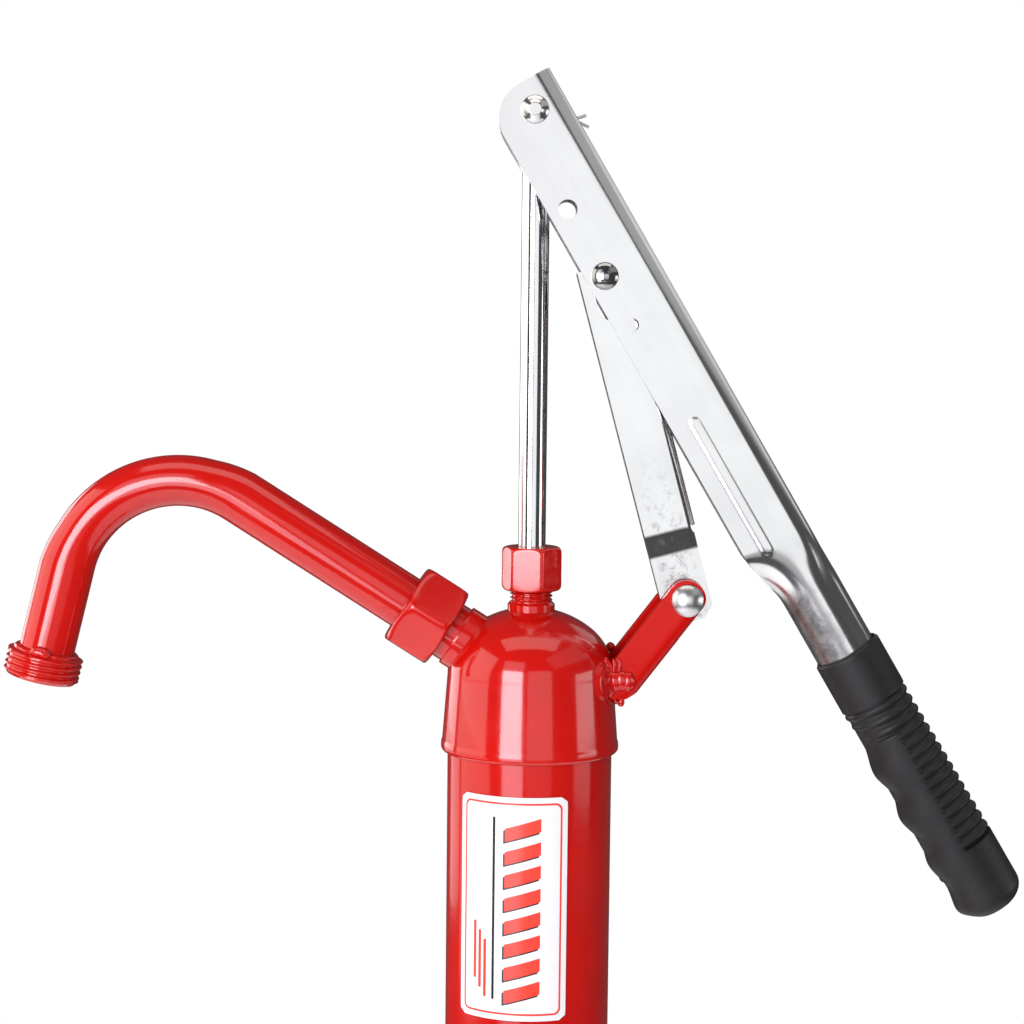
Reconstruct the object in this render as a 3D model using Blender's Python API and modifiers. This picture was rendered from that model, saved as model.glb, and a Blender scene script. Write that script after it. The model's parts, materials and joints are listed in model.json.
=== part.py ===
"""Lever-action drum pump: cylinder, domed head, gooseneck spout, packed rod, lever, rocking link and
telescoping suction tube. Metres, +Z up. The origin is on the pump's axis, at the plane where the bung
adapter's flange seats on the drum. X runs from the spout to the lever, and Y away from the front.
"""

import math

import bmesh
import bpy
from mathutils import Vector

COLLECTION = "fluid_transfer_pump"
GAP = 0.0003  # clearance kept between pieces that touch

# cylinder and head
RIM = 0.240  # height of the cap's lower rim
CYLINDER_R = 0.028575  # 2 1/4 in tube
CYLINDER_BORE = 0.0267
CYLINDER_FOOT = 0.018
CAP_SOCKET_R = 0.0289
CAP_STEP = 0.0093  # shoulder inside the cap, above the rim
CAP_RIM_R = 0.0309
CAP_SHOULDER_R = 0.0288
CAP_WALL = 0.002
CROWN_R = 0.034  # sphere of the dome
CROWN_Z = RIM + 0.016
KNUCKLE_R = 0.020  # arc between the dome and the side
KNUCKLE_X = CAP_SHOULDER_R - KNUCKLE_R
KNUCKLE_RISE = math.sqrt((CROWN_R - KNUCKLE_R) ** 2 - KNUCKLE_X**2)
KNUCKLE_Z = CROWN_Z + KNUCKLE_RISE
KNUCKLE_ANGLE = math.degrees(math.atan2(KNUCKLE_RISE, KNUCKLE_X))
CAP_HOLE_R = 0.0085

# gland and packing nut
BOSS_R = 0.0082
NECK_R = 0.00735
ROD_R = 0.00475  # 3/8 in rod
ROD_BORE = 0.0051
CHAMBER_R = 0.0063
BOSS_FOOT = RIM + 0.042
BOSS_TOP = RIM + 0.0517
NECK_TOP = RIM + 0.062
PACKING_NUT_FLATS = 0.0185
PACKING_NUT_FOOT = RIM + 0.056
PACKING_NUT_TOP = RIM + 0.0713
PACKING_NUT_TURN = 19.4  # degrees about the rod

# spout: t is the distance along its axis, from the pump's axis
SPOUT_RISE = 32.2  # degrees above the horizontal
SPOUT_AXIS_Z = RIM + 0.0238
SPIGOT_R = 0.0112
SPIGOT_BORE = 0.008
SPIGOT_NECK_R = 0.0103
SPIGOT_FROM, SPIGOT_TO = 0.024, 0.043
SPOUT_NUT_FLATS = 0.0286
SPOUT_NUT_FROM, SPOUT_NUT_TO = 0.0342, 0.0515
SPOUT_NUT_TURN = 9.0
SPOUT_TUBE_R = 0.009525  # 3/4 in tube
SPOUT_WALL = 0.00165
SPOUT_TUBE_FROM = 0.0451
BEND_FROM = 0.1190
BEND_R = 0.040
BEND_ANGLE = 108.4
OUTLET_LENGTH = 0.0405
COLLAR_R = 0.0131
COLLAR_LENGTH = 0.0093
THREAD_CRESTS = 5
THREAD_DEPTH = 0.0011

# linkage pivots (X, Z) and channels
ROD_PIVOT = (-0.0007, RIM + 0.2199)
BRACKET_PIVOT = (0.0533, RIM + 0.0543)
LEVER_ANGLE = 30.6  # degrees between the lever and the vertical
LEVER_WIDTH = 0.022
LEVER_SHEET = 0.0016
LEVER_BACK = 0.0113  # web, measured from the rod pivot's line
LEVER_EDGE = -0.0136  # open edge
LEVER_END = -0.010
LEVER_CORNER_R = 0.0126
LEVER_BEND_R = 0.0062
LEVER_TUBE_R = 0.0106
LEVER_TUBE_LINE = 0.0011
ROLL_FROM, ROLL_TO = 0.164, 0.192
LEVER_TUBE_END = 0.298
LINK_PIVOT = (0.0601, -0.0074)  # in the lever's frame
SPARE_HOLE = (0.0344, -0.0071)
SMALL_HOLE = (0.0790, -0.0077)
GRIP_FROM, GRIP_TO = 0.2140, 0.3190
GRIP_R = 0.0130
GRIP_LINE = 0.0016
GRIP_BORE_END = 0.302
PIN_R = 0.003
RIVET_R = 0.0025
LINK_ANGLE = 15.14
LINK_LENGTH = 0.11406
LINK_WIDTH = 0.0176
LINK_EAR_WIDTH = 0.0136
LINK_SHEET = 0.002
LINK_EDGE, LINK_BACK = -0.0087, 0.0092
LINK_TOP = -0.0034
LINK_EAR_BACK = 0.0082  # where the flat ears end, below the web
WALL_END, JOGGLE_END, EAR_END = 0.0892, 0.0980, 0.1220
BRACKET_ANGLE = 52.8  # degrees above the horizontal
BRACKET_WIDTH = 0.0228
BRACKET_SHEET = 0.003
BRACKET_LOW, BRACKET_HIGH = -0.0064, 0.0070
BRACKET_FOOT = -0.0435
BRACKET_WEB_END = -0.0125

# piston, from the rim down
PISTON_TOP = RIM - 0.017
PISTON_R = 0.0263
HUB_R = 0.022
FLOW_HOLE_R, FLOW_CIRCLE_R, FLOW_HOLES = 0.0033, 0.013, 6
ROD_FOOT = RIM - 0.0395

# foot, adapter and suction tubes
CUP_R = 0.0307
CUP_FLOOR = 0.0123
FOOT_BORE = 0.013
NECK_FOOT_R = 0.0175
ADAPTER_FLATS = 0.068
ADAPTER_TOP = 0.012
ADAPTER_FOOT = -0.022
BUNG_THREAD_R = 0.0298  # 2 in pipe thread
SEAT_TOP = 0.0195
SEAT_R = 0.008
BALL_R = 0.010
UPPER_TUBE_R = 0.015875  # 1 1/4 in tube
UPPER_TUBE_BORE = 0.014275
UPPER_TUBE_FOOT = -0.430
LOWER_TUBE_R = 0.0132
LOWER_TUBE_BORE = 0.0118
LOWER_TUBE_TOP = -0.030
LOWER_TUBE_FOOT = -0.462
STRAINER_TOP, STRAINER_FOOT = -0.450, -0.480
STRAINER_R = 0.0165

LABEL_LOW, LABEL_HIGH = RIM - 0.0880, RIM - 0.0110
LABEL_ARC = 78.0
LABEL_MIDDLE = -12.5  # degrees to the left of the front


def clear_scene():
    for obj in list(bpy.data.objects):
        bpy.data.objects.remove(obj, do_unlink=True)


def new_collection(name):
    collection = bpy.data.collections.new(name)
    bpy.context.scene.collection.children.link(collection)
    return collection


clear_scene()
PARTS = new_collection(COLLECTION)
CUTTERS = new_collection("cutters")


def material(name, colour, roughness, metallic=0.0):
    mat = bpy.data.materials.new(name)
    mat.use_nodes = True
    shader = mat.node_tree.nodes["Principled BSDF"]
    shader.inputs["Base Color"].default_value = (*colour, 1.0)
    shader.inputs["Roughness"].default_value = roughness
    shader.inputs["Metallic"].default_value = metallic
    return mat


FINISHES = {
    "red_paint": ((0.62, 0.012, 0.01), 0.22, 0.0),
    "chrome": ((0.78, 0.79, 0.80), 0.10, 1.0),
    "zinc_plate": ((0.70, 0.72, 0.74), 0.25, 1.0),
    "steel": ((0.45, 0.46, 0.48), 0.35, 1.0),
    "brass": ((0.70, 0.50, 0.20), 0.30, 1.0),
    "black_rubber": ((0.018, 0.018, 0.019), 0.55, 0.0),
    "seal_rubber": ((0.03, 0.03, 0.03), 0.70, 0.0),
    "packing": ((0.75, 0.74, 0.68), 0.80, 0.0),
    "label_film": ((0.85, 0.85, 0.85), 0.30, 0.0),
}


def set_up(obj, finish, parent=None, smooth=False):
    """Puts the object in the parts collection, gives it its own material and hangs it on its parent."""
    for collection in list(obj.users_collection):
        collection.objects.unlink(obj)
    PARTS.objects.link(obj)
    obj.data.materials.clear()
    obj.data.materials.append(material(obj.name, *FINISHES[finish]))
    if smooth:
        obj.data.shade_smooth()
    if parent is not None:
        obj.parent = parent
    return obj


def empty(name, x, z, turn=0.0):
    """A joint's frame at (x, 0, z), turned by so many degrees about Y."""
    obj = bpy.data.objects.new(name, None)
    PARTS.objects.link(obj)
    obj.location = (x, 0.0, z)
    obj.rotation_euler = (0.0, math.radians(turn), 0.0)
    return obj


def mesh_object(name, bm):
    mesh = bpy.data.meshes.new(name)
    bm.to_mesh(mesh)
    bm.free()
    obj = bpy.data.objects.new(name, mesh)
    bpy.context.scene.collection.objects.link(obj)
    return obj


def arc(centre_x, centre_z, radius, start, end, count):
    """Points of an arc; the angles are in degrees from +X towards +Z."""
    points = []
    for i in range(count):
        angle = math.radians(start + (end - start) * i / (count - 1))
        points.append((centre_x + radius * math.cos(angle), centre_z + radius * math.sin(angle)))
    return points


def tube_profile(outer, inner, low, high, bevel=0.0):
    """A closed section of a plain tube, with bevelled outer edges."""
    if not bevel:
        return [(outer, high), (outer, low), (inner, low), (inner, high)]
    return [
        (outer - bevel, high), (outer, high - bevel), (outer, low + bevel),
        (outer - bevel, low), (inner, low), (inner, high),
    ]


def thread_profile(radius, depth, low, high, crests):
    """The outer side of a threaded stretch, from high to low, as a row of crests."""
    pitch = (high - low) / crests
    points = []
    for i in range(crests):
        crest = high - (i + 0.5) * pitch
        points += [(radius, crest), (radius - depth, crest - pitch / 2)]
    return points


def turned(name, profile, steps=24, closed=True):
    """A solid turned about Z from (radius, height) points that run down its outer side."""
    bm = bmesh.new()
    verts = [bm.verts.new((r, 0.0, z)) for r, z in profile]
    for a, b in zip(verts, verts[1:]):
        bm.edges.new((a, b))
    if closed:
        bm.edges.new((verts[-1], verts[0]))
    obj = mesh_object(name, bm)
    screw = obj.modifiers.new("turn", "SCREW")
    screw.axis = "Z"
    screw.steps = steps
    screw.render_steps = steps
    screw.use_merge_vertices = True
    screw.merge_threshold = 0.00001
    screw.use_smooth_shade = True
    return obj


def placed(obj, location=(0, 0, 0), rotation=(0, 0, 0)):
    obj.location = location
    obj.rotation_euler = [math.radians(v) for v in rotation]
    return obj


def cutter(obj, parent=None):
    """Marks an object as a cutting tool that is not part of the pump."""
    for collection in list(obj.users_collection):
        collection.objects.unlink(obj)
    CUTTERS.objects.link(obj)
    obj.display_type = "WIRE"
    obj.hide_render = True
    if parent is not None:
        obj.parent = parent
    return obj


def cylinder_cutter(name, radius, length, location, rotation=(0, 0, 0), parent=None, sides=20):
    bm = bmesh.new()
    bmesh.ops.create_cone(bm, cap_ends=True, segments=sides, radius1=radius, radius2=radius, depth=length)
    return cutter(placed(mesh_object(name, bm), location, rotation), parent)


def box_cutter(name, size, location, rotation=(0, 0, 0), parent=None):
    bm = bmesh.new()
    bmesh.ops.create_cube(bm, size=1.0)
    bmesh.ops.scale(bm, vec=Vector(size), verts=bm.verts)
    return cutter(placed(mesh_object(name, bm), location, rotation), parent)


def boolean(obj, tool, operation="DIFFERENCE"):
    modifier = obj.modifiers.new(tool.name, "BOOLEAN")
    modifier.operation = operation
    modifier.solver = "EXACT"
    modifier.object = tool
    return obj


def hexagon(name, flats, low, high, turn, ease, face):
    """A hexagonal prism about Z, rounded off at both ends from a flat face of the given radius."""
    radius = flats / math.sqrt(3.0)
    bm = bmesh.new()
    bmesh.ops.create_cone(
        bm, cap_ends=True, segments=6, radius1=radius, radius2=radius, depth=high - low
    )
    obj = placed(mesh_object(name, bm), (0, 0, (low + high) / 2), (0, 0, turn))
    mid = (high - low) / 2
    corner = radius + 0.0004
    end = []
    for angle in (0, 20, 40, 60, 90):
        turned_by = math.radians(angle)
        end.append((face + (corner - face) * math.sin(turned_by), mid - ease * (1 - math.cos(turned_by))))
    profile = [(0, mid)] + end + [(r, -z) for r, z in reversed(end)] + [(0, -mid)]
    limit = cutter(turned(name + "_limit", profile, 24, closed=False), obj)
    return boolean(obj, limit, "INTERSECT")


def shell_from_rings(name, rings, thickness):
    """A sheet-metal shell: rows of points become one open surface, thickened inwards."""
    bm = bmesh.new()
    rows = [[bm.verts.new(p) for p in ring] for ring in rings]
    for row, following in zip(rows, rows[1:]):
        for i in range(len(row) - 1):
            bm.faces.new((row[i], following[i], following[i + 1], row[i + 1]))
    obj = mesh_object(name, bm)
    solid = obj.modifiers.new("sheet", "SOLIDIFY")
    solid.thickness = thickness
    solid.offset = -1.0
    solid.use_even_offset = True
    return obj


def channel_section(width, edge, back, bend, walls=4, bends=3):
    """(Y, height) points round a U-channel's outside, from the near open edge to the far one."""
    half = width / 2
    near = [(-half, edge + (back - bend - edge) * i / walls) for i in range(walls)]
    corner = arc(-half + bend, back - bend, bend, 180, 90, bends + 1)
    side = near + corner
    return side + [(0.0, back)] + [(-y, h) for y, h in reversed(side)]


# --- cylinder, cap and gland ----------------------------------------------------------------------


def cap_outside(offset=0.0):
    """The cap's outer side from the gland hole down to its rim."""
    crown = arc(0, CROWN_Z, CROWN_R + offset, 75.5, KNUCKLE_ANGLE, 3)
    knuckle = arc(KNUCKLE_X, KNUCKLE_Z, KNUCKLE_R + offset, KNUCKLE_ANGLE, 0, 5)[1:]
    rim = [
        (CAP_RIM_R + offset, RIM + 0.0035), (CAP_RIM_R + offset, RIM + 0.0016),
        (CAP_RIM_R - 0.0005 + offset, RIM + 0.0005), (CAP_RIM_R - 0.0016 + offset, RIM),
    ]
    return crown + knuckle + rim


def make_cylinder():
    profile = tube_profile(CYLINDER_R, CYLINDER_BORE, CYLINDER_FOOT, RIM + 0.0075)
    set_up(turned("cylinder", profile, 36), "red_paint")
    gasket = tube_profile(0.0286, 0.0273, RIM + 0.0078, RIM + 0.0090)
    set_up(turned("cap_gasket", gasket, 32), "seal_rubber")


def make_cap(spout_frame):
    inner_crown = arc(0, CROWN_Z, CROWN_R - CAP_WALL, KNUCKLE_ANGLE, 74.6, 3)
    inner_knuckle = arc(KNUCKLE_X, KNUCKLE_Z, KNUCKLE_R - CAP_WALL, 0, KNUCKLE_ANGLE, 4)[:-1]
    inside = [(CAP_SOCKET_R, RIM), (CAP_SOCKET_R, RIM + CAP_STEP), (0.027, RIM + CAP_STEP)]
    cap = turned("cap", cap_outside() + inside + inner_knuckle + inner_crown, 32)
    hole = cylinder_cutter(
        "spigot_hole", SPIGOT_R + GAP, 0.045, (0, 0, 0.040), parent=spout_frame, sides=28
    )
    set_up(boolean(cap, hole), "red_paint")


def make_gland():
    profile = [
        (NECK_R - 0.0006, NECK_TOP), (NECK_R, NECK_TOP - 0.0006), (NECK_R, BOSS_TOP), (BOSS_R, BOSS_TOP),
        (BOSS_R, BOSS_FOOT), (ROD_BORE, BOSS_FOOT), (ROD_BORE, BOSS_TOP), (CHAMBER_R, BOSS_TOP),
        (CHAMBER_R, NECK_TOP),
    ]
    set_up(turned("gland_boss", profile, 24), "red_paint")
    ring_height = 0.0028
    for i in range(3):
        low = BOSS_TOP + GAP + i * (ring_height + GAP)
        ring = turned(f"packing_ring_{i + 1}", tube_profile(0.0060, 0.00505, low, low + ring_height), 20)
        set_up(ring, "packing")
    follower_foot = BOSS_TOP + 4 * GAP + 3 * ring_height
    profile = [
        (0.0072, RIM + 0.0662), (0.0072, NECK_TOP + GAP), (0.0060, NECK_TOP + GAP),
        (0.0060, follower_foot), (ROD_BORE, follower_foot), (ROD_BORE, RIM + 0.0662),
    ]
    set_up(turned("gland_follower", profile, 20), "brass")


def make_packing_nut():
    nut = hexagon(
        "packing_nut", PACKING_NUT_FLATS, PACKING_NUT_FOOT, PACKING_NUT_TOP, PACKING_NUT_TURN,
        0.0030, 0.0084
    )
    low = PACKING_NUT_FOOT - (PACKING_NUT_FOOT + PACKING_NUT_TOP) / 2
    bore = [
        (0, 0.02), (ROD_BORE, 0.02), (ROD_BORE, low + 0.0105), (NECK_R + GAP, low + 0.0105),
        (NECK_R + GAP, low - 0.001), (0, low - 0.001),
    ]
    boolean(nut, cutter(turned("packing_nut_bore", bore, 24, closed=False), nut))
    set_up(nut, "red_paint")


# --- spout ----------------------------------------------------------------------------------------


def spout_path():
    """The gooseneck's centreline in the spout's frame: straight, one bend, straight."""
    points = [Vector((0, 0, SPOUT_TUBE_FROM)), Vector((0, 0, 0.085)), Vector((0, 0, BEND_FROM))]
    count = 12
    for i in range(1, count + 1):
        angle = math.radians(BEND_ANGLE) * i / count
        points.append(
            Vector((-BEND_R * (1 - math.cos(angle)), 0, BEND_FROM + BEND_R * math.sin(angle)))
        )
    angle = math.radians(BEND_ANGLE)
    outlet = Vector((-math.sin(angle), 0, math.cos(angle)))
    points.append(points[-1] + outlet * OUTLET_LENGTH / 2)
    points.append(points[-2] + outlet * OUTLET_LENGTH)
    return points


def tube_along(name, points, radius, wall, sides):
    """A hollow tube: a bevelled curve made a mesh, then thickened inwards."""
    curve = bpy.data.curves.new(name, "CURVE")
    curve.dimensions = "3D"
    curve.bevel_depth = radius
    curve.bevel_resolution = sides
    spline = curve.splines.new("POLY")
    spline.points.add(len(points) - 1)
    for point, place in zip(spline.points, points):
        point.co = (*place, 1.0)
    source = bpy.data.objects.new(name + "_curve", curve)
    bpy.context.scene.collection.objects.link(source)
    bpy.context.view_layer.update()
    mesh = bpy.data.meshes.new_from_object(source.evaluated_get(bpy.context.evaluated_depsgraph_get()))
    bpy.data.objects.remove(source, do_unlink=True)
    obj = bpy.data.objects.new(name, mesh)
    bpy.context.scene.collection.objects.link(obj)
    solid = obj.modifiers.new("wall", "SOLIDIFY")
    solid.thickness = wall
    solid.offset = -1.0
    return obj


def make_spout(frame):
    path = spout_path()
    set_up(tube_along("spout_tube", path, SPOUT_TUBE_R, SPOUT_WALL, 5), "red_paint", frame, smooth=True)
    ferrule = tube_profile(0.0111, SPOUT_TUBE_R + 0.0004, SPOUT_TUBE_FROM, 0.0480)
    set_up(turned("spout_ferrule", ferrule), "steel", frame)
    gasket = tube_profile(0.0108, SPIGOT_BORE + 0.0002, SPIGOT_TO + GAP, SPOUT_TUBE_FROM - GAP)
    set_up(turned("spout_gasket", gasket), "seal_rubber", frame)
    threads = thread_profile(COLLAR_R, THREAD_DEPTH, 0.0004, COLLAR_LENGTH - 0.0004, THREAD_CRESTS)
    bore = SPOUT_TUBE_R + 0.0004
    collar = [(COLLAR_R - THREAD_DEPTH, COLLAR_LENGTH)] + threads
    collar += [(COLLAR_R - THREAD_DEPTH, 0.0), (bore, 0.0), (bore, COLLAR_LENGTH)]
    obj = turned("hose_thread_collar", collar, 36)
    placed(obj, path[-1], (0, 180 - BEND_ANGLE, 0))
    set_up(obj, "red_paint", frame)


def make_spigot(frame):
    step = SPOUT_NUT_FROM - 0.0036
    profile = [
        (SPIGOT_NECK_R, SPIGOT_TO), (SPIGOT_NECK_R, step), (SPIGOT_R, step),
        (SPIGOT_R, SPIGOT_FROM), (SPIGOT_BORE, SPIGOT_FROM), (SPIGOT_BORE, SPIGOT_TO),
    ]
    set_up(turned("spout_spigot", profile), "red_paint", frame)


def make_spout_nut(frame):
    nut = hexagon("spout_nut", SPOUT_NUT_FLATS, SPOUT_NUT_FROM, SPOUT_NUT_TO, SPOUT_NUT_TURN,
                  0.0046, 0.0124)
    nut.parent = frame
    low = (SPOUT_NUT_FROM - SPOUT_NUT_TO) / 2
    shoulder = 0.0484 - (SPOUT_NUT_FROM + SPOUT_NUT_TO) / 2
    bore = [
        (0, 0.02), (0.0099, 0.02), (0.0099, shoulder), (SPIGOT_R + GAP, shoulder),
        (SPIGOT_R + GAP, low - 0.001), (0, low - 0.001),
    ]
    boolean(nut, cutter(turned("spout_nut_bore", bore, 28, closed=False), nut))
    set_up(nut, "red_paint", frame)


# --- linkage --------------------------------------------------------------------------------------


def lever_edge(s):
    """Height of the lever's open edge at s: a round corner at the rod end, then straight."""
    centre = LEVER_END + LEVER_CORNER_R
    if s >= centre:
        return LEVER_EDGE
    drop = math.sqrt(max(LEVER_CORNER_R**2 - (centre - s) ** 2, 0.0))
    return LEVER_EDGE + LEVER_CORNER_R - drop


def lever_ring(s):
    """The lever's outside at s: a U-channel that rolls closed into a tube."""
    section = channel_section(LEVER_WIDTH, lever_edge(s), LEVER_BACK, LEVER_BEND_R, walls=3, bends=4)
    share = min(max((s - ROLL_FROM) / (ROLL_TO - ROLL_FROM), 0.0), 1.0)
    share = share * share * (3 - 2 * share)
    last = len(section) - 1
    seam = 3.0  # degrees each side of the seam
    ring = []
    for i, (y, height) in enumerate(section):
        angle = math.radians(270 - seam - (360 - 2 * seam) * i / last)
        round_y = LEVER_TUBE_R * math.cos(angle)
        round_height = LEVER_TUBE_LINE + LEVER_TUBE_R * math.sin(angle)
        ring.append(Vector((s, y + (round_y - y) * share, height + (round_height - height) * share)))
    return ring


def cross_hole(obj, name, place, radius, frame):
    """A hole through both walls of a channel, along Y."""
    tool = cylinder_cutter(name, radius, 0.040, (place[0], 0, place[1]), (90, 0, 0), frame, sides=16)
    return boolean(obj, tool)


def make_lever(frame):
    corner = [LEVER_END + LEVER_CORNER_R * (1 - math.cos(math.radians(a))) for a in range(0, 91, 30)]
    roll = [ROLL_FROM + (ROLL_TO - ROLL_FROM) * i / 5 for i in range(6)]
    stations = corner + roll + [0.240, LEVER_TUBE_END]
    lever = shell_from_rings("lever_channel", [lever_ring(s) for s in stations], LEVER_SHEET)
    cross_hole(lever, "rod_pin_hole", (0, 0), PIN_R + GAP, frame)
    cross_hole(lever, "link_rivet_hole", LINK_PIVOT, RIVET_R + GAP, frame)
    cross_hole(lever, "spare_hole", SPARE_HOLE, 0.0033, frame)
    cross_hole(lever, "small_hole", SMALL_HOLE, 0.0024, frame)
    set_up(lever, "zinc_plate", frame)


def make_grip(frame):
    bore = LEVER_TUBE_R + GAP
    length = GRIP_TO - GRIP_FROM
    end = arc(GRIP_R - 0.004, length - 0.004, 0.004, 90, 0, 4)
    outside = [(0.0, length)] + end + [
        (GRIP_R, 0.021), (GRIP_R - 0.0006, 0.0205), (GRIP_R - 0.0006, 0.0195), (GRIP_R, 0.019),
        (GRIP_R, 0.001), (GRIP_R - 0.001, 0.0),
    ]
    grip = turned("grip", outside + [(0.0, 0.0)], 28, closed=False)
    placed(grip, (GRIP_FROM, 0, GRIP_LINE), (0, 90, 0))
    depth = GRIP_BORE_END - GRIP_FROM
    hole = cylinder_cutter(
        "grip_bore", bore, depth + 0.01, (GRIP_FROM + (depth - 0.01) / 2, 0, LEVER_TUBE_LINE),
        (0, 90, 0), frame, sides=24,
    )
    set_up(boolean(grip, hole), "black_rubber", frame)


def headed_pin(name, shank, head, head_height, near, far, far_head=0.0):
    """A pin along -Y: a domed head in front of near, a shank to far, and a far head if asked."""
    dome = [(0.0, near + head_height), (head * 0.6, near + head_height * 0.82)]
    dome += [(head, near + head_height * 0.15), (head, near)]
    profile = dome + [(shank, near), (shank, far)]
    if far_head:
        profile += [(far_head, far), (far_head, far - 0.0012), (far_head * 0.7, far - 0.0022)]
        profile += [(0.0, far - 0.0024)]
    else:
        profile += [(0.0, far)]
    return turned(name, profile, 16, closed=False)


def make_lever_pins(frame):
    outside = LEVER_WIDTH / 2 + GAP
    pin = headed_pin("clevis_pin", PIN_R, 0.0048, 0.0026, outside, -0.0156)
    placed(pin, (0, 0, 0), (90, 0, 0))
    hole = cylinder_cutter("cotter_hole", 0.0015, 0.02, (0, 0.0136, 0), (0, 90 - LEVER_ANGLE + 90, 0), frame)
    hole.rotation_euler = (0, math.radians(90 - (90 - LEVER_ANGLE)), 0)
    set_up(boolean(pin, hole), "zinc_plate", frame)
    washer = tube_profile(0.0062, PIN_R + GAP, -0.0121, -outside)
    set_up(placed(turned("clevis_washer", washer, 20), (0, 0, 0), (90, 0, 0)), "zinc_plate", frame)
    inner = LEVER_WIDTH / 2 - LEVER_SHEET - GAP
    for side, low, high in (("near", 0.0073, inner), ("far", -inner, -0.0073)):
        spacer = turned("clevis_spacer_" + side, tube_profile(0.0052, PIN_R + GAP, low, high), 20)
        set_up(placed(spacer, (0, 0, 0), (90, 0, 0)), "steel", frame)
    rivet = headed_pin("link_rivet", RIVET_R, 0.0047, 0.0026, outside, -outside, 0.0044)
    set_up(placed(rivet, (LINK_PIVOT[0], 0, LINK_PIVOT[1]), (90, 0, 0)), "zinc_plate", frame)


def make_cotter(frame):
    """A split pin through the clevis pin's far end: an eye on one side, two legs that spread."""
    wire = 0.00055
    apart = 0.00075
    eye_x, eye_r = -0.0062, 0.0019
    upper = [(0.0179, 0.0002), (0.0148, -0.0006), (0.0045, apart), (-0.0040, apart)]
    eye = arc(eye_x, 0.0, eye_r, 55, 305, 9)
    lower = [(-0.0040, -apart), (0.0045, -apart), (0.0148, -0.0020), (0.0189, -0.0039)]
    points = upper + eye + lower
    curve = bpy.data.curves.new("cotter_pin", "CURVE")
    curve.dimensions = "3D"
    curve.bevel_depth = wire
    curve.bevel_resolution = 2
    curve.use_fill_caps = True
    spline = curve.splines.new("POLY")
    spline.points.add(len(points) - 1)
    for point, (x, z) in zip(spline.points, points):
        point.co = (x, 0.0, z, 1.0)
    obj = bpy.data.objects.new("cotter_pin", curve)
    bpy.context.scene.collection.objects.link(obj)
    placed(obj, (0, 0.0136, 0), (0, -(90 - LEVER_ANGLE), 0))
    set_up(obj, "zinc_plate", frame)


def link_half(s):
    """Half the link's outer width at s: it steps in below the channel."""
    share = min(max((s - WALL_END) / (JOGGLE_END - WALL_END), 0.0), 1.0)
    return (LINK_WIDTH + (LINK_EAR_WIDTH - LINK_WIDTH) * share) / 2


def make_link(frame):
    """The rocking link, in the frame of the lever's rivet: X runs down to the bracket's rivet."""
    stations = [LINK_TOP, 0.045, WALL_END, JOGGLE_END, EAR_END]
    rings = []
    for s in stations:
        back, bend = (LINK_BACK, 0.0033) if s <= WALL_END else (LINK_EAR_BACK + 0.0024, 0.0023)
        section = channel_section(2 * link_half(s), LINK_EDGE, back, bend, walls=1, bends=2)
        rings.append([Vector((s, y, height)) for y, height in section])
    link = shell_from_rings("link_channel", rings, LINK_SHEET)
    inside = LINK_EAR_WIDTH - 2 * LINK_SHEET
    lower = box_cutter(
        "link_lower_gap", (0.040, inside, 0.020), (WALL_END + 0.0205, 0, LINK_BACK - 0.0075), parent=frame
    )
    boolean(link, lower)
    back = box_cutter("link_ear_back", (0.040, 0.030, 0.010), (WALL_END + 0.0205, 0, LINK_EAR_BACK + 0.005),
                      parent=frame)
    boolean(link, back)
    for side, turn in ((LINK_EDGE, 45), (LINK_EAR_BACK, -45)):
        name = "ear_corner_low" if side < 0 else "ear_corner_high"
        boolean(link, box_cutter(name, (0.006, 0.03, 0.02), (EAR_END + 0.0004, 0, side), (0, turn, 0), frame))
    slot = rounded_slot("open_pivot_slot", (-0.0100, 0.0153), (-0.0048, 0.0140), 0.004)
    slot.parent = frame
    boolean(link, cutter(slot, frame))
    hole = cylinder_cutter("link_pin_hole", PIN_R + GAP, 0.04, (LINK_LENGTH, 0, 0), (90, 0, 0), frame)
    set_up(boolean(link, hole), "zinc_plate", frame)


def rounded_slot(name, along, across, radius):
    """A round-cornered bar along Y: along and across are its limits in X and Z."""
    corners = [
        (along[1] - radius, across[1] - radius, 0), (along[0] + radius, across[1] - radius, 90),
        (along[0] + radius, across[0] + radius, 180), (along[1] - radius, across[0] + radius, 270),
    ]
    outline = []
    for x, z, start in corners:
        outline += arc(x, z, radius, start, start + 90, 5)
    return prism(name, outline, 0.040)


def prism(name, outline, thickness):
    """A flat outline in (X, Z), extruded along Y about the middle plane and made a mesh."""
    curve = bpy.data.curves.new(name, "CURVE")
    curve.dimensions = "2D"
    curve.fill_mode = "BOTH"
    curve.extrude = thickness / 2
    spline = curve.splines.new("POLY")
    spline.points.add(len(outline) - 1)
    for point, (x, z) in zip(spline.points, outline):
        point.co = (x, z, 0.0, 1.0)
    spline.use_cyclic_u = True
    source = bpy.data.objects.new(name + "_curve", curve)
    bpy.context.scene.collection.objects.link(source)
    bpy.context.view_layer.update()
    mesh = bpy.data.meshes.new_from_object(source.evaluated_get(bpy.context.evaluated_depsgraph_get()))
    bpy.data.objects.remove(source, do_unlink=True)
    bm = bmesh.new()
    bm.from_mesh(mesh)
    bpy.data.meshes.remove(mesh)
    bmesh.ops.remove_doubles(bm, verts=bm.verts, dist=0.000001)
    bmesh.ops.rotate(bm, verts=bm.verts, cent=(0, 0, 0), matrix=upright())
    bmesh.ops.recalc_face_normals(bm, faces=bm.faces)
    return mesh_object(name, bm)


def upright():
    """Turns the XY plane into the XZ plane."""
    from mathutils import Matrix

    return Matrix.Rotation(math.radians(90), 3, "X")


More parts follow.
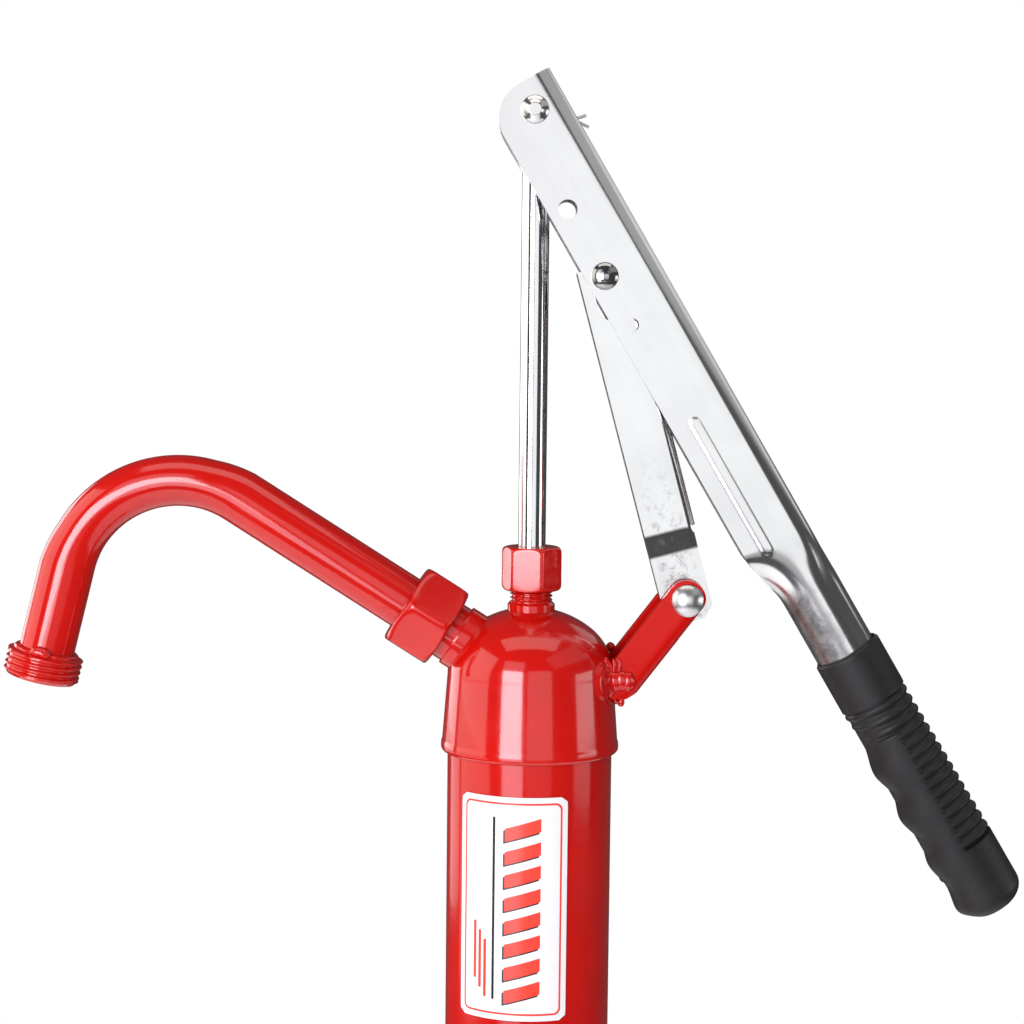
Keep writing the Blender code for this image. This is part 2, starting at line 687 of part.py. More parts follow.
def make_bracket(frame):
    """A U-channel welded to the cap: two ears and a web on the underside."""
    half = BRACKET_WIDTH / 2
    radius = (BRACKET_HIGH - BRACKET_LOW) / 2
    middle = (BRACKET_HIGH + BRACKET_LOW) / 2
    outline = [(BRACKET_FOOT, BRACKET_HIGH), (BRACKET_FOOT, 0.0004), (-0.0398, -0.0045)]
    outline += [(-0.0357, BRACKET_LOW), (0.0, BRACKET_LOW)]
    outline += arc(0.0, middle, radius, -90, 90, 9)[1:]
    bracket = prism("bracket", outline, BRACKET_WIDTH)
    trough = box_cutter(
        "bracket_trough", (0.060, BRACKET_WIDTH - 2 * BRACKET_SHEET, 0.020),
        (-0.022, 0, BRACKET_LOW + BRACKET_SHEET + 0.010), parent=frame,
    )
    fork = box_cutter(
        "bracket_fork", (0.030, BRACKET_WIDTH - 2 * BRACKET_SHEET, 0.030),
        (BRACKET_WEB_END + 0.015, 0, 0), parent=frame,
    )
    boolean(boolean(bracket, trough), fork)
    foot = [(0.0, RIM + 0.052)] + cap_outside(GAP)[:-2] + [(CAP_RIM_R + GAP, RIM - 0.02), (0, RIM - 0.02)]
    boolean(bracket, cutter(turned("cap_allowance", foot, 40, closed=False)))
    cross_hole(bracket, "bracket_pin_hole", (0, 0), PIN_R + GAP, frame)
    set_up(bracket, "red_paint", frame)
    rivet = headed_pin("bracket_rivet", PIN_R, 0.0055, 0.0042, half + GAP, -half - GAP, 0.0050)
    set_up(placed(rivet, (0, 0, 0), (90, 0, 0)), "zinc_plate", frame)
    inner, outer = LINK_EAR_WIDTH / 2 + GAP, half - BRACKET_SHEET - GAP
    for side, low, high in (("near", inner, outer), ("far", -outer, -inner)):
        washer = turned("bracket_washer_" + side, tube_profile(0.0060, PIN_R + GAP, low, high), 20)
        set_up(placed(washer, (0, 0, 0), (90, 0, 0)), "zinc_plate", frame)
    reach = LINK_EAR_WIDTH / 2 - LINK_SHEET - GAP
    spacer = turned("pivot_spacer", tube_profile(0.0052, PIN_R + GAP, -reach, reach), 20)
    set_up(placed(spacer, (0, 0, 0), (90, 0, 0)), "steel", frame)


# --- rod and piston -------------------------------------------------------------------------------


def make_rod(frame):
    top = ROD_PIVOT[1] - 0.0095
    profile = [(0, top), (ROD_R, top), (ROD_R, ROD_FOOT), (0, ROD_FOOT)]
    set_up(turned("piston_rod", profile, 28, closed=False), "chrome")
    stem = [(0, 0.003), (0.0062, 0.003), (0.0062, -0.0140), (0, -0.0140)]
    end = placed(turned("rod_end", stem, 24, closed=False), (0, 0, ROD_PIVOT[1]))
    barrel = placed(
        turned("eye_barrel", [(0, 0.007), (0.0070, 0.007), (0.0070, -0.007), (0, -0.007)], 28, closed=False),
        (ROD_PIVOT[0], 0, ROD_PIVOT[1]), (90, 0, 0),
    )
    boolean(end, cutter(barrel), "UNION")
    pin_hole = cylinder_cutter(
        "eye_hole", PIN_R + GAP, 0.02, (ROD_PIVOT[0], 0, ROD_PIVOT[1]), (90, 0, 0)
    )
    socket = cylinder_cutter("rod_socket", ROD_R + GAP, 0.012, (0, 0, top + GAP - 0.006))
    set_up(boolean(boolean(end, pin_hole), socket), "steel")


def make_piston():
    top, foot = PISTON_TOP, PISTON_TOP - 0.012
    profile = [
        (PISTON_R, top), (PISTON_R, top - 0.003), (HUB_R, top - 0.003), (HUB_R, foot),
        (ROD_BORE, foot), (ROD_BORE, top),
    ]
    piston = turned("piston_body", profile, 28)
    tool = None
    for i in range(FLOW_HOLES):
        angle = 2 * math.pi * i / FLOW_HOLES
        place = (FLOW_CIRCLE_R * math.cos(angle), FLOW_CIRCLE_R * math.sin(angle), top - 0.006)
        tool = cylinder_cutter(f"flow_hole_{i}", FLOW_HOLE_R, 0.02, place, sides=8)
        boolean(piston, tool)
    set_up(piston, "brass")
    cup = [
        (0.0264, top - 0.0033), (0.0264, foot + GAP), (HUB_R + GAP, foot + GAP), (HUB_R + GAP, top - 0.0033),
    ]
    set_up(turned("piston_cup", cup, 28), "seal_rubber")
    set_up(turned("cup_retainer", tube_profile(0.0245, 0.0170, foot - 0.0033, foot - GAP)), "steel")
    nut_high = foot - GAP
    nut = hexagon("piston_nut", 0.0160, nut_high - 0.0085, nut_high, 0.0, 0.001, 0.0077)
    boolean(nut, cylinder_cutter("piston_nut_bore", ROD_BORE, 0.03, (0, 0, 0), parent=nut))
    set_up(nut, "steel")
    disc = tube_profile(0.0190, 0.0053, top + GAP, top + 0.0023)
    set_up(turned("piston_valve_disc", disc), "brass")
    stop = tube_profile(0.0090, ROD_R + GAP, top + 0.0060, top + 0.0080)
    set_up(turned("valve_stop", stop, 24), "steel")


# --- foot, adapter and suction tubes --------------------------------------------------------------


def make_base():
    floor_top = CYLINDER_FOOT - GAP
    profile = [
        (CUP_R - 0.0008, 0.032), (CUP_R, 0.0312), (CUP_R, CUP_FLOOR + 0.0012), (CUP_R - 0.0012, CUP_FLOOR),
        (NECK_FOOT_R, CUP_FLOOR), (NECK_FOOT_R, -0.008), (FOOT_BORE, -0.008),
        (FOOT_BORE, floor_top), (CAP_SOCKET_R, floor_top), (CAP_SOCKET_R, 0.032),
    ]
    set_up(turned("base_cup", profile, 28), "red_paint")
    seat = [
        (0.0150, SEAT_TOP), (0.0150, floor_top + GAP), (FOOT_BORE - GAP, floor_top + GAP),
        (FOOT_BORE - GAP, 0.009), (SEAT_R, 0.009), (SEAT_R, SEAT_TOP),
    ]
    set_up(turned("foot_valve_seat", seat, 24), "brass")
    bm = bmesh.new()
    bmesh.ops.create_uvsphere(bm, u_segments=16, v_segments=10, radius=BALL_R)
    rise = math.sqrt(BALL_R**2 - SEAT_R**2) + 0.0004
    ball = placed(mesh_object("foot_valve_ball", bm), (0, 0, SEAT_TOP + rise))
    set_up(ball, "steel", smooth=True)
    cage_foot, cage_top = floor_top + GAP, 0.0445
    cage = [
        (0.0172, cage_top), (0.0172, cage_foot), (0.0153, cage_foot), (0.0153, cage_top - 0.002),
        (0.0050, cage_top - 0.002), (0.0050, cage_top),
    ]
    cage = turned("foot_valve_cage", cage)
    for i in range(2):
        window = box_cutter(f"cage_window_{i}", (0.040, 0.014, 0.017), (0, 0, 0.0315), (0, 0, 90 * i + 45))
        boolean(cage, window)
    set_up(cage, "brass")


def make_adapter():
    adapter = hexagon("bung_adapter", ADAPTER_FLATS, 0.0, ADAPTER_TOP, 30.0, 0.002, 0.0336)
    middle = ADAPTER_TOP / 2
    stub = [
        (0, 0.004), (BUNG_THREAD_R, 0.004), (BUNG_THREAD_R, ADAPTER_FOOT + 0.0015),
        (BUNG_THREAD_R - 0.0015, ADAPTER_FOOT), (0, ADAPTER_FOOT),
    ]
    stub = [(r, z - middle) for r, z in stub]
    boolean(adapter, cutter(turned("bung_thread", stub, 24, closed=False), adapter), "UNION")
    bore = [
        (0, 0.02), (NECK_FOOT_R + GAP, 0.02), (NECK_FOOT_R + GAP, -0.0083), (UPPER_TUBE_R + GAP, -0.0083),
        (UPPER_TUBE_R + GAP, -0.03), (0, -0.03),
    ]
    bore = [(r, z - middle) for r, z in bore]
    boolean(adapter, cutter(turned("adapter_bore", bore, 24, closed=False), adapter))
    set_up(adapter, "zinc_plate")


def make_suction():
    upper = tube_profile(UPPER_TUBE_R, UPPER_TUBE_BORE, UPPER_TUBE_FOOT, -0.0086)
    set_up(turned("suction_tube_upper", upper, 28), "zinc_plate")
    foot = UPPER_TUBE_FOOT
    bore = UPPER_TUBE_R + GAP
    lip = LOWER_TUBE_R + GAP
    collar = [
        (0.0195, foot + 0.022), (0.0210, foot + 0.0205), (0.0210, foot - 0.0085), (0.0195, foot - 0.010),
        (lip, foot - 0.010), (lip, foot - 0.0065), (bore, foot - 0.0065), (bore, foot + 0.022),
    ]
    set_up(turned("telescope_collar", collar), "zinc_plate")
    ring = tube_profile(bore - GAP, lip, foot - 0.0062, foot - 0.0015)
    set_up(turned("telescope_oring", ring), "seal_rubber")
    lower = tube_profile(LOWER_TUBE_R, LOWER_TUBE_BORE, LOWER_TUBE_FOOT, LOWER_TUBE_TOP)
    set_up(turned("suction_tube_lower", lower, 28), "zinc_plate")
    ring = tube_profile(0.0139, LOWER_TUBE_R + GAP, LOWER_TUBE_TOP - 0.012, LOWER_TUBE_TOP - 0.006)
    set_up(turned("guide_ring", ring), "brass")
    socket = LOWER_TUBE_R + GAP
    ledge = LOWER_TUBE_FOOT - GAP
    profile = [
        (STRAINER_R - 0.001, STRAINER_TOP), (STRAINER_R, STRAINER_TOP - 0.001),
        (STRAINER_R, STRAINER_FOOT), (socket, STRAINER_FOOT), (socket, ledge - 0.0020),
        (0.0115, ledge - 0.0020), (0.0115, ledge), (socket, ledge), (socket, STRAINER_TOP),
    ]
    strainer = turned("inlet_strainer", profile)
    for i in range(2):
        notch = box_cutter(f"inlet_notch_{i}", (0.05, 0.008, 0.012), (0, 0, STRAINER_FOOT), (0, 0, 90 * i))
        boolean(strainer, notch)
    set_up(strainer, "zinc_plate")
    screen = [(0, ledge - 0.0023), (0.0131, ledge - 0.0023), (0.0131, ledge - 0.0033), (0, ledge - 0.0033)]
    screen = turned("strainer_screen", screen, 24, closed=False)
    for i in range(4):
        angle = math.radians(90 * i + 45)
        place = (0.0075 * math.cos(angle), 0.0075 * math.sin(angle), ledge - 0.0028)
        boolean(screen, cylinder_cutter(f"screen_hole_{i}", 0.0026, 0.01, place, sides=8))
    set_up(screen, "brass")


def make_label():
    """A thin curved plate on the front of the cylinder."""
    columns, rows = 12, 2
    radius = CYLINDER_R + GAP + 0.0002
    bm = bmesh.new()
    grid = []
    for j in range(rows):
        height = LABEL_LOW + (LABEL_HIGH - LABEL_LOW) * j / (rows - 1)
        line = []
        for i in range(columns + 1):
            angle = math.radians(LABEL_MIDDLE + LABEL_ARC * (i / columns - 0.5))
            line.append(bm.verts.new((radius * math.sin(angle), -radius * math.cos(angle), height)))
        grid.append(line)
    for i in range(columns):
        bm.faces.new((grid[0][i], grid[0][i + 1], grid[1][i + 1], grid[1][i]))
    label = mesh_object("label_plate", bm)
    solid = label.modifiers.new("film", "SOLIDIFY")
    solid.thickness = 0.0002
    solid.offset = -1.0
    set_up(label, "label_film")


def main():
    spout = empty("spout_axis", 0.0, SPOUT_AXIS_Z, SPOUT_RISE - 90)
    lever = empty("rod_pivot", ROD_PIVOT[0], ROD_PIVOT[1], 90 - LEVER_ANGLE)
    lean = math.radians(LINK_ANGLE)
    top_x = BRACKET_PIVOT[0] - LINK_LENGTH * math.sin(lean)
    top_z = BRACKET_PIVOT[1] + LINK_LENGTH * math.cos(lean)
    link = empty("link_top", top_x, top_z, 90 - LINK_ANGLE)
    bracket = empty("bracket_pivot", BRACKET_PIVOT[0], BRACKET_PIVOT[1], -BRACKET_ANGLE)
    make_cylinder()
    make_cap(spout)
    make_gland()
    make_packing_nut()
    make_spigot(spout)
    make_spout_nut(spout)
    make_spout(spout)
    make_bracket(bracket)
    make_link(link)
    make_lever(lever)
    make_grip(lever)
    make_lever_pins(lever)
    make_cotter(lever)
    make_rod(lever)
    make_piston()
    make_base()
    make_adapter()
    make_suction()
    make_label()
    bpy.context.view_layer.update()


main()
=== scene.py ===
"""Looks for the lever-action drum pump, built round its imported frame. Metres, +Z up."""

import json
from math import acos, atan2, copysign, cos, degrees, exp, hypot, log, pi, radians, sin, sqrt, tan

import bmesh
import bpy
from mathutils import Matrix, Vector


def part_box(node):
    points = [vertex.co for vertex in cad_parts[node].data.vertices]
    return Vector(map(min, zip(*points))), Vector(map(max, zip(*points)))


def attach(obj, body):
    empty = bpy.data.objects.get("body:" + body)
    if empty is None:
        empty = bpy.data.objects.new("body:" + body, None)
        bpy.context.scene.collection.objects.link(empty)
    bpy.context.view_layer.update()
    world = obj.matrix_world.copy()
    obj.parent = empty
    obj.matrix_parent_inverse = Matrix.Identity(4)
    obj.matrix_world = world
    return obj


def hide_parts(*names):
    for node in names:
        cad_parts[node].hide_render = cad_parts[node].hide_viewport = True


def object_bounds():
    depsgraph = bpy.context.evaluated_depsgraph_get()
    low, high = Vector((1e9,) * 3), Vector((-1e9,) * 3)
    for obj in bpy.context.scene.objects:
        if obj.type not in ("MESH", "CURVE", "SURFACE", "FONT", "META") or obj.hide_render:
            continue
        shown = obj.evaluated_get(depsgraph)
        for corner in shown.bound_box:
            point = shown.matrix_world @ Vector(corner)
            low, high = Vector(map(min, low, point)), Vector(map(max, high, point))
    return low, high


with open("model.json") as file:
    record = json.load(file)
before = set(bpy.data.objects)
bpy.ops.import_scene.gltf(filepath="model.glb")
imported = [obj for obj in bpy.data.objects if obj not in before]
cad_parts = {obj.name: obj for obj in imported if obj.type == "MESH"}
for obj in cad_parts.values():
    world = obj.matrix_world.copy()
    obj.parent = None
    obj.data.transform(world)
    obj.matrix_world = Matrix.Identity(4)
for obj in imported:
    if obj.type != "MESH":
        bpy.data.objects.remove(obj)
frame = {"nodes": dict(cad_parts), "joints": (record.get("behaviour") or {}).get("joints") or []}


def plain_bounds():
    return [[round(float(v), 6) for v in corner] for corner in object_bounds()]


CAD_BOUNDS = plain_bounds()
JOINTS = {joint["name"]: joint for joint in frame["joints"]}

# --- the frame's own measures ---

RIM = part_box("cap")[0].z
CAP_RIM_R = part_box("cap")[1].x
CYLINDER_LOW, CYLINDER_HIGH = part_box("cylinder")
CYLINDER_R = CYLINDER_HIGH.x
ROD_PIVOT = JOINTS["lever_swing"]["pos_m"]
BRACKET_PIVOT = JOINTS["link_rock"]["pos_m"]
SPOUT_BASE = JOINTS["spout_swivel"]["pos_m"]
SPOUT_AXIS = Vector(JOINTS["spout_swivel"]["axis"])
ROD_LOW, ROD_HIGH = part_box("piston_rod")
LOWEST = CAD_BOUNDS[0][2]

# --- camera and light ---

CAMERA_PLACE = (-0.0070, -0.7920, 0.3924)
CAMERA_PITCH = -5.0
CAMERA_ROLL = 0.62
LENS = 80.86

# --- shapes of the visible pieces ---

LEVER_ANGLE = 30.6
LEVER_HALF = 0.0110
LEVER_SHEET = 0.0016
LEVER_BACK, LEVER_EDGE = 0.0113, -0.0136
LEVER_END, LEVER_CORNER_R = -0.0100, 0.0126
LEVER_BEND_R = 0.0062
LEVER_TUBE_R, LEVER_TUBE_LINE = 0.0106, 0.0011
LEVER_TUBE_END = 0.298
ROLL_FROM, ROLL_TO = 0.166, 0.191
RIB_FROM, RIB_TO, RIB_LINE = 0.1185, 0.1685, -0.0055
RIB_HALF, RIB_RISE = 0.0026, 0.00035
LINK_RIVET = (0.0601, -0.0074)
SPARE_HOLE = (0.0344, -0.0071)
SMALL_HOLE = (0.0790, -0.0077)

GRIP_FROM, GRIP_TO, GRIP_LINE = 0.2140, 0.3190, 0.0016
GRIP_HALF = 0.0122

LINK_ANGLE, LINK_LENGTH = 15.14, 0.11406
LINK_HALF, LINK_EAR_HALF, LINK_SHEET = 0.0088, 0.0068, 0.002
LINK_EDGE, LINK_BACK, LINK_TOP = -0.0087, 0.0092, -0.0034
LINK_BEND_R, LINK_EAR_BACK = 0.0033, 0.0082
WALL_END, JOGGLE_END, EAR_END = 0.0892, 0.0980, 0.1220

BRACKET_ANGLE = 52.8
BRACKET_HALF, BRACKET_SHEET = 0.0114, 0.003
BRACKET_LOW, BRACKET_HIGH = -0.0064, 0.0070
BRACKET_FOOT, BRACKET_WEB_END = -0.0435, -0.0125

BEND_FROM, BEND_R, BEND_ANGLE, OUTLET_LENGTH = 0.1190, 0.040, 108.4, 0.0405
SPOUT_TUBE_FROM, SPOUT_TUBE_R, SPOUT_WALL = 0.0451, 0.009525, 0.00165
COLLAR_R, COLLAR_LENGTH = 0.0131, 0.0093

PIN_HOLE_R = 0.0033
GAP = 0.0003


def turn_about_y(x, z, turn):
    """A frame at (x, 0, z), turned by so many degrees about Y."""
    return Matrix.Translation((x, 0.0, z)) @ Matrix.Rotation(radians(turn), 4, "Y")


def upright(x=0.0, y=0.0, z=0.0):
    return Matrix.Translation((x, y, z))


LEVER_FRAME = turn_about_y(ROD_PIVOT[0], ROD_PIVOT[2], 90 - LEVER_ANGLE)
SPOUT_FRAME = turn_about_y(SPOUT_BASE[0], SPOUT_BASE[2], -degrees(acos(SPOUT_AXIS.z)))
BRACKET_FRAME = turn_about_y(BRACKET_PIVOT[0], BRACKET_PIVOT[2], -BRACKET_ANGLE)
LEAN = radians(LINK_ANGLE)
LINK_FRAME = turn_about_y(
    BRACKET_PIVOT[0] - LINK_LENGTH * sin(LEAN),
    BRACKET_PIVOT[2] + LINK_LENGTH * cos(LEAN),
    90 - LINK_ANGLE,
)
ACROSS = Matrix.Rotation(radians(90), 4, "X")  # turns Z to -Y, for pins and washers


# --- materials ---


class Nodes:
    """A short way to wire up a material's nodes."""

    def __init__(self, name):
        self.material = bpy.data.materials.new(name)
        self.material.use_nodes = True
        self.tree = self.material.node_tree
        self.shader = self.tree.nodes["Principled BSDF"]
        self.place = self.add("ShaderNodeTexCoord").outputs["Object"]

    def add(self, kind, **values):
        node = self.tree.nodes.new(kind)
        for key, value in values.items():
            setattr(node, key, value)
        return node

    def link(self, source, target):
        self.tree.links.new(source, target)

    def feed(self, socket, value):
        """Links another node's output to a socket, or sets it to a plain number or colour."""
        if hasattr(value, "is_output"):
            self.link(value, socket)
        else:
            socket.default_value = (*value, 1.0) if isinstance(value, tuple) else value

    def math(self, operation, *values):
        node = self.add("ShaderNodeMath", operation=operation)
        for socket, value in zip(node.inputs, values):
            self.feed(socket, value)
        return node.outputs[0]

    def times(self, first, second):
        return self.math("MULTIPLY", first, second)

    def plus(self, first, second):
        return self.math("ADD", first, second)

    def minus(self, first, second):
        return self.math("SUBTRACT", first, second)

    def stretched(self, scale, turn=0.0):
        """The place, turned by so many degrees about Y and then stretched."""
        turned_place = self.add("ShaderNodeVectorRotate", rotation_type="Y_AXIS")
        turned_place.inputs["Angle"].default_value = radians(turn)
        self.link(self.place, turned_place.inputs["Vector"])
        mapping = self.add("ShaderNodeMapping")
        mapping.inputs["Scale"].default_value = scale
        self.link(turned_place.outputs[0], mapping.inputs["Vector"])
        return mapping.outputs[0]

    def measured(self, place, axis):
        """How far along one axis of a frame the place lies."""
        shifted = self.add("ShaderNodeVectorMath", operation="SUBTRACT")
        self.link(self.place, shifted.inputs[0])
        shifted.inputs[1].default_value = place.translation
        along = self.add("ShaderNodeVectorMath", operation="DOT_PRODUCT")
        self.link(shifted.outputs["Vector"], along.inputs[0])
        along.inputs[1].default_value = place.col[axis].xyz
        return along.outputs["Value"]

    def noise(self, scale, detail=3.0, vector=None, roughness=0.55):
        node = self.add("ShaderNodeTexNoise")
        node.inputs["Scale"].default_value = scale
        node.inputs["Detail"].default_value = detail
        node.inputs["Roughness"].default_value = roughness
        self.link(vector or self.place, node.inputs["Vector"])
        return node.outputs["Fac"]

    def spread(self, source, low, high, out_low, out_high):
        node = self.add("ShaderNodeMapRange")
        self.link(source, node.inputs["Value"])
        for socket, value in zip(node.inputs[1:5], (low, high, out_low, out_high)):
            socket.default_value = value
        return node.outputs[0]

    def colours(self, source, *stops):
        ramp = self.add("ShaderNodeValToRGB")
        elements = ramp.color_ramp.elements
        while len(elements) < len(stops):
            elements.new(0.5)
        for element, (position, colour) in zip(elements, stops):
            element.position = position
            element.color = (*colour, 1.0)
        self.link(source, ramp.inputs["Fac"])
        return ramp.outputs["Color"]

    def mix(self, factor, first, second):
        node = self.add("ShaderNodeMix", data_type="RGBA")
        sockets = [s for s in node.inputs if s.enabled]
        for socket, value in zip(sockets, (factor, first, second)):
            self.feed(socket, value)
        return [s for s in node.outputs if s.enabled][0]

    def bump(self, height, strength, distance):
        node = self.add("ShaderNodeBump")
        node.inputs["Strength"].default_value = strength
        node.inputs["Distance"].default_value = distance
        self.link(height, node.inputs["Height"])
        self.link(node.outputs["Normal"], self.shader.inputs["Normal"])

    def set(self, **values):
        for key, value in values.items():
            self.feed(self.shader.inputs[key.replace("_", " ")], value)
        return self.material


def red_paint(name="red_enamel", peel=1.0, shine=1.0):
    """Glossy enamel: slight colour drift, orange peel and a few duller patches."""
    n = Nodes(name)
    drift = n.noise(28.0, 2.0)
    colour = n.colours(drift, (0.3, (0.48, 0.0042, 0.0026)), (0.7, (0.55, 0.0060, 0.0036)))
    fine = n.noise(420.0, 2.0)
    broad = n.noise(75.0, 2.0)
    height = n.plus(n.times(fine, 0.35), broad)
    n.bump(height, 0.10 * peel, 0.0006)
    gloss = n.spread(n.noise(60.0, 4.0), 0.35, 0.7, 0.12, 0.18)
    return n.set(
        Base_Color=colour, Roughness=gloss, Specular_IOR_Level=0.5 * shine,
        Coat_Weight=0.5 * shine, Coat_Roughness=0.06,
    )


def zinc_plate(name, shade, light, low, high, along=(1.0, 1.0, 1.0), turn=0.0, darkening=None):
    """Bright plated sheet: faint rolling lines along one axis and cloudy patches.

    Its colour runs from shade to light, and its roughness from low to high. Its last argument, given n and
    patches, may return a mask, from 0 to 1, of where the plating is made dull and dark.
    """
    n = Nodes(name)
    lines = n.noise(180.0, 3.0, n.stretched(along, turn))
    patches = n.noise(45.0, 4.0)
    grey = n.plus(n.times(lines, 0.35), n.times(patches, 0.65))
    cool = (0.985, 0.995, 1.01)
    dark, bright = (tuple(level * c for c in cool) for level in (shade, light))
    colour = n.colours(grey, (0.35, dark), (0.62, bright))
    gloss = n.spread(grey, 0.3, 0.7, high, low)
    if darkening:
        mask = darkening(n, patches)
        speckle = n.noise(260.0, 5.0, roughness=0.7)
        dull = n.colours(speckle, (0.35, (0.20, 0.20, 0.20)), (0.65, (0.42, 0.42, 0.42)))
        colour = n.mix(mask, colour, dull)
        gloss = n.plus(gloss, n.times(mask, 0.22))
    n.bump(lines, 0.02, 0.00012)
    return n.set(Base_Color=colour, Metallic=1.0, Roughness=gloss)


def lever_tube_darkening(n, patches):
    """Where the lever's tube is made dull and dark: its lower side, from the neck to the grip."""
    along = n.measured(LEVER_FRAME, 0)
    up = n.measured(LEVER_FRAME, 2)
    ragged = n.plus(up, n.times(patches, 0.010))
    side = n.spread(ragged, 0.0040, 0.0085, 1.0, 0.0)
    return n.times(n.spread(along, 0.1835, 0.1900, 0.0, 1.0), side)


def link_stain(n, patches):
    """Cloudy spots low on the link, above and below its step."""
    along = n.measured(LINK_FRAME, 0)
    across = n.measured(LINK_FRAME, 2)
    low = n.spread(along, 0.060, 0.102, 0.0, 0.75)
    above_edge = n.spread(across, -0.0070, -0.0050, 0.0, 1.0)
    middle = n.times(above_edge, n.spread(across, 0.0040, 0.0065, 1.0, 0.0))
    spots = n.spread(n.noise(330.0, 4.0, roughness=0.7), 0.50, 0.68, 0.0, 1.0)
    return n.times(n.times(low, middle), spots)


def chrome():
    n = Nodes("rod_chrome")
    lines = n.noise(700.0, 2.0, n.stretched((1.0, 1.0, 0.05)))
    gloss = n.spread(lines, 0.3, 0.7, 0.05, 0.12)
    colour = n.colours(n.noise(30.0, 3.0), (0.3, (0.78, 0.79, 0.81)), (0.7, (0.86, 0.87, 0.88)))
    n.bump(lines, 0.02, 0.0002)
    return n.set(Base_Color=colour, Metallic=1.0, Roughness=gloss)


def mottled(name, noise, shades, gloss, bump, metallic=1.0, scale=(1.0, 1.0, 1.0)):
    """A plain material whose shade follows one noise, and its roughness too where gloss is a pair."""
    n = Nodes(name)
    spots = n.noise(*noise, n.stretched(scale))
    dark, bright = shades
    colour = n.colours(spots, (0.3, dark), (0.7, bright))
    n.bump(spots, *bump)
    roughness = n.spread(spots, 0.3, 0.7, *gloss) if isinstance(gloss, tuple) else gloss
    return n.set(Base_Color=colour, Metallic=metallic, Roughness=roughness)


def grip_rubber():
    """Black satin moulded rubber with a fine sandy grain."""
    n = Nodes("grip_rubber")
    grain = n.noise(1500.0, 4.0)
    bloom = n.noise(60.0, 3.0)
    colour = n.colours(bloom, (0.3, (0.005, 0.005, 0.006)), (0.75, (0.010, 0.010, 0.011)))
    n.bump(n.plus(grain, n.times(n.noise(500.0, 2.0), 0.8)), 0.16, 0.0004)
    return n.set(Base_Color=colour, Roughness=n.spread(bloom, 0.3, 0.7, 0.44, 0.56))


def packing():
    n = Nodes("braided_packing")
    weave = n.add("ShaderNodeTexWave", bands_direction="DIAGONAL")
    weave.inputs["Scale"].default_value = 260.0
    n.link(n.place, weave.inputs["Vector"])
    colour = n.colours(weave.outputs["Fac"], (0.2, (0.50, 0.48, 0.42)), (0.8, (0.78, 0.76, 0.70)))
    n.bump(weave.outputs["Fac"], 0.4, 0.0004)
    return n.set(Base_Color=colour, Roughness=0.85)


def label_print():
    """White film with a red border and a generic pattern of slanted bars."""
    n = Nodes("label_print")
    split = n.add("ShaderNodeSeparateXYZ")
    n.link(n.add("ShaderNodeUVMap").outputs["UV"], split.inputs[0])
    across, up = split.outputs["X"], split.outputs["Y"]

    def inside_box(x_middle, y_middle, half_x, half_y, corner, slant=0.0):
        """1 inside a round-cornered box, whose sizes are in millimetres on the film."""
        x = n.minus(across, x_middle)
        y = n.minus(up, y_middle)
        y = n.minus(y, n.times(x, slant))
        dx = n.math("MAXIMUM", n.minus(n.math("ABSOLUTE", x), half_x - corner), 0.0)
        dy = n.math("MAXIMUM", n.minus(n.math("ABSOLUTE", y), half_y - corner), 0.0)
        reach = n.math("SQRT", n.plus(n.times(dx, dx), n.times(dy, dy)))
        return n.math("LESS_THAN", reach, corner)

    white, red, black = (0.80, 0.80, 0.81), (0.80, 0.055, 0.035), (0.02, 0.02, 0.02)
    colour = n.mix(inside_box(0, 0, 17.8, 36.6, 2.4), white, red)
    colour = n.mix(inside_box(0, 0, 17.1, 35.9, 1.9), colour, white)
    for i in range(8):
        middle = -28.7 + 8.0 * i
        colour = n.mix(inside_box(3.6, middle - 0.7, 6.2, 2.3, 0.3, 0.3), colour, black)
        colour = n.mix(inside_box(4.2, middle, 6.2, 2.3, 0.3, 0.3), colour, red)
    colour = n.mix(inside_box(-5.9, 0, 0.45, 31.5, 0.2), colour, black)
    for i in range(3):
        colour = n.mix(inside_box(-13.0 + 2.0 * i, -15.0 - 3.0 * i, 0.55, 10.0, 0.2), colour, red)
    n.bump(n.noise(350.0, 2.0), 0.03, 0.0002)
    return n.set(Base_Color=colour, Roughness=n.spread(n.noise(90.0, 3.0), 0.3, 0.7, 0.16, 0.3))


def white_floor():
    n = Nodes("studio_floor")
    colour = n.colours(n.noise(2.0, 2.0), (0.3, (0.93, 0.93, 0.93)), (0.7, (0.95, 0.95, 0.95)))
    return n.set(Base_Color=colour, Roughness=0.6)


RED = red_paint()
WELD_RED = red_paint("red_enamel_on_welds", 3.0)
BRACKET_RED = red_paint("red_enamel_on_bracket", 1.0, 0.35)
ROLLED = (0.06, 1.0, 1.0)
LEVER_ZINC = zinc_plate("lever_zinc", 0.79, 0.86, 0.14, 0.19, ROLLED, LEVER_ANGLE - 90, lever_tube_darkening)
LINK_ZINC = zinc_plate("link_zinc", 0.80, 0.88, 0.10, 0.14, ROLLED, LINK_ANGLE - 90, link_stain)
PIN_ZINC = zinc_plate("pin_zinc", 0.74, 0.86, 0.14, 0.22)
RIVET_ZINC = zinc_plate("bracket_rivet_zinc", 0.74, 0.86, 0.26, 0.34)
DARK_ZINC = zinc_plate("link_rivet_zinc", 0.34, 0.48, 0.14, 0.24)
PIPE_ZINC = zinc_plate("pipe_zinc", 0.62, 0.76, 0.22, 0.34, (1.0, 1.0, 0.05))
CHROME = chrome()
STEEL = mottled(
    "plain_steel", (160.0, 5.0), ((0.30, 0.30, 0.31), (0.52, 0.52, 0.53)), (0.42, 0.28), (0.06, 0.0003)
)
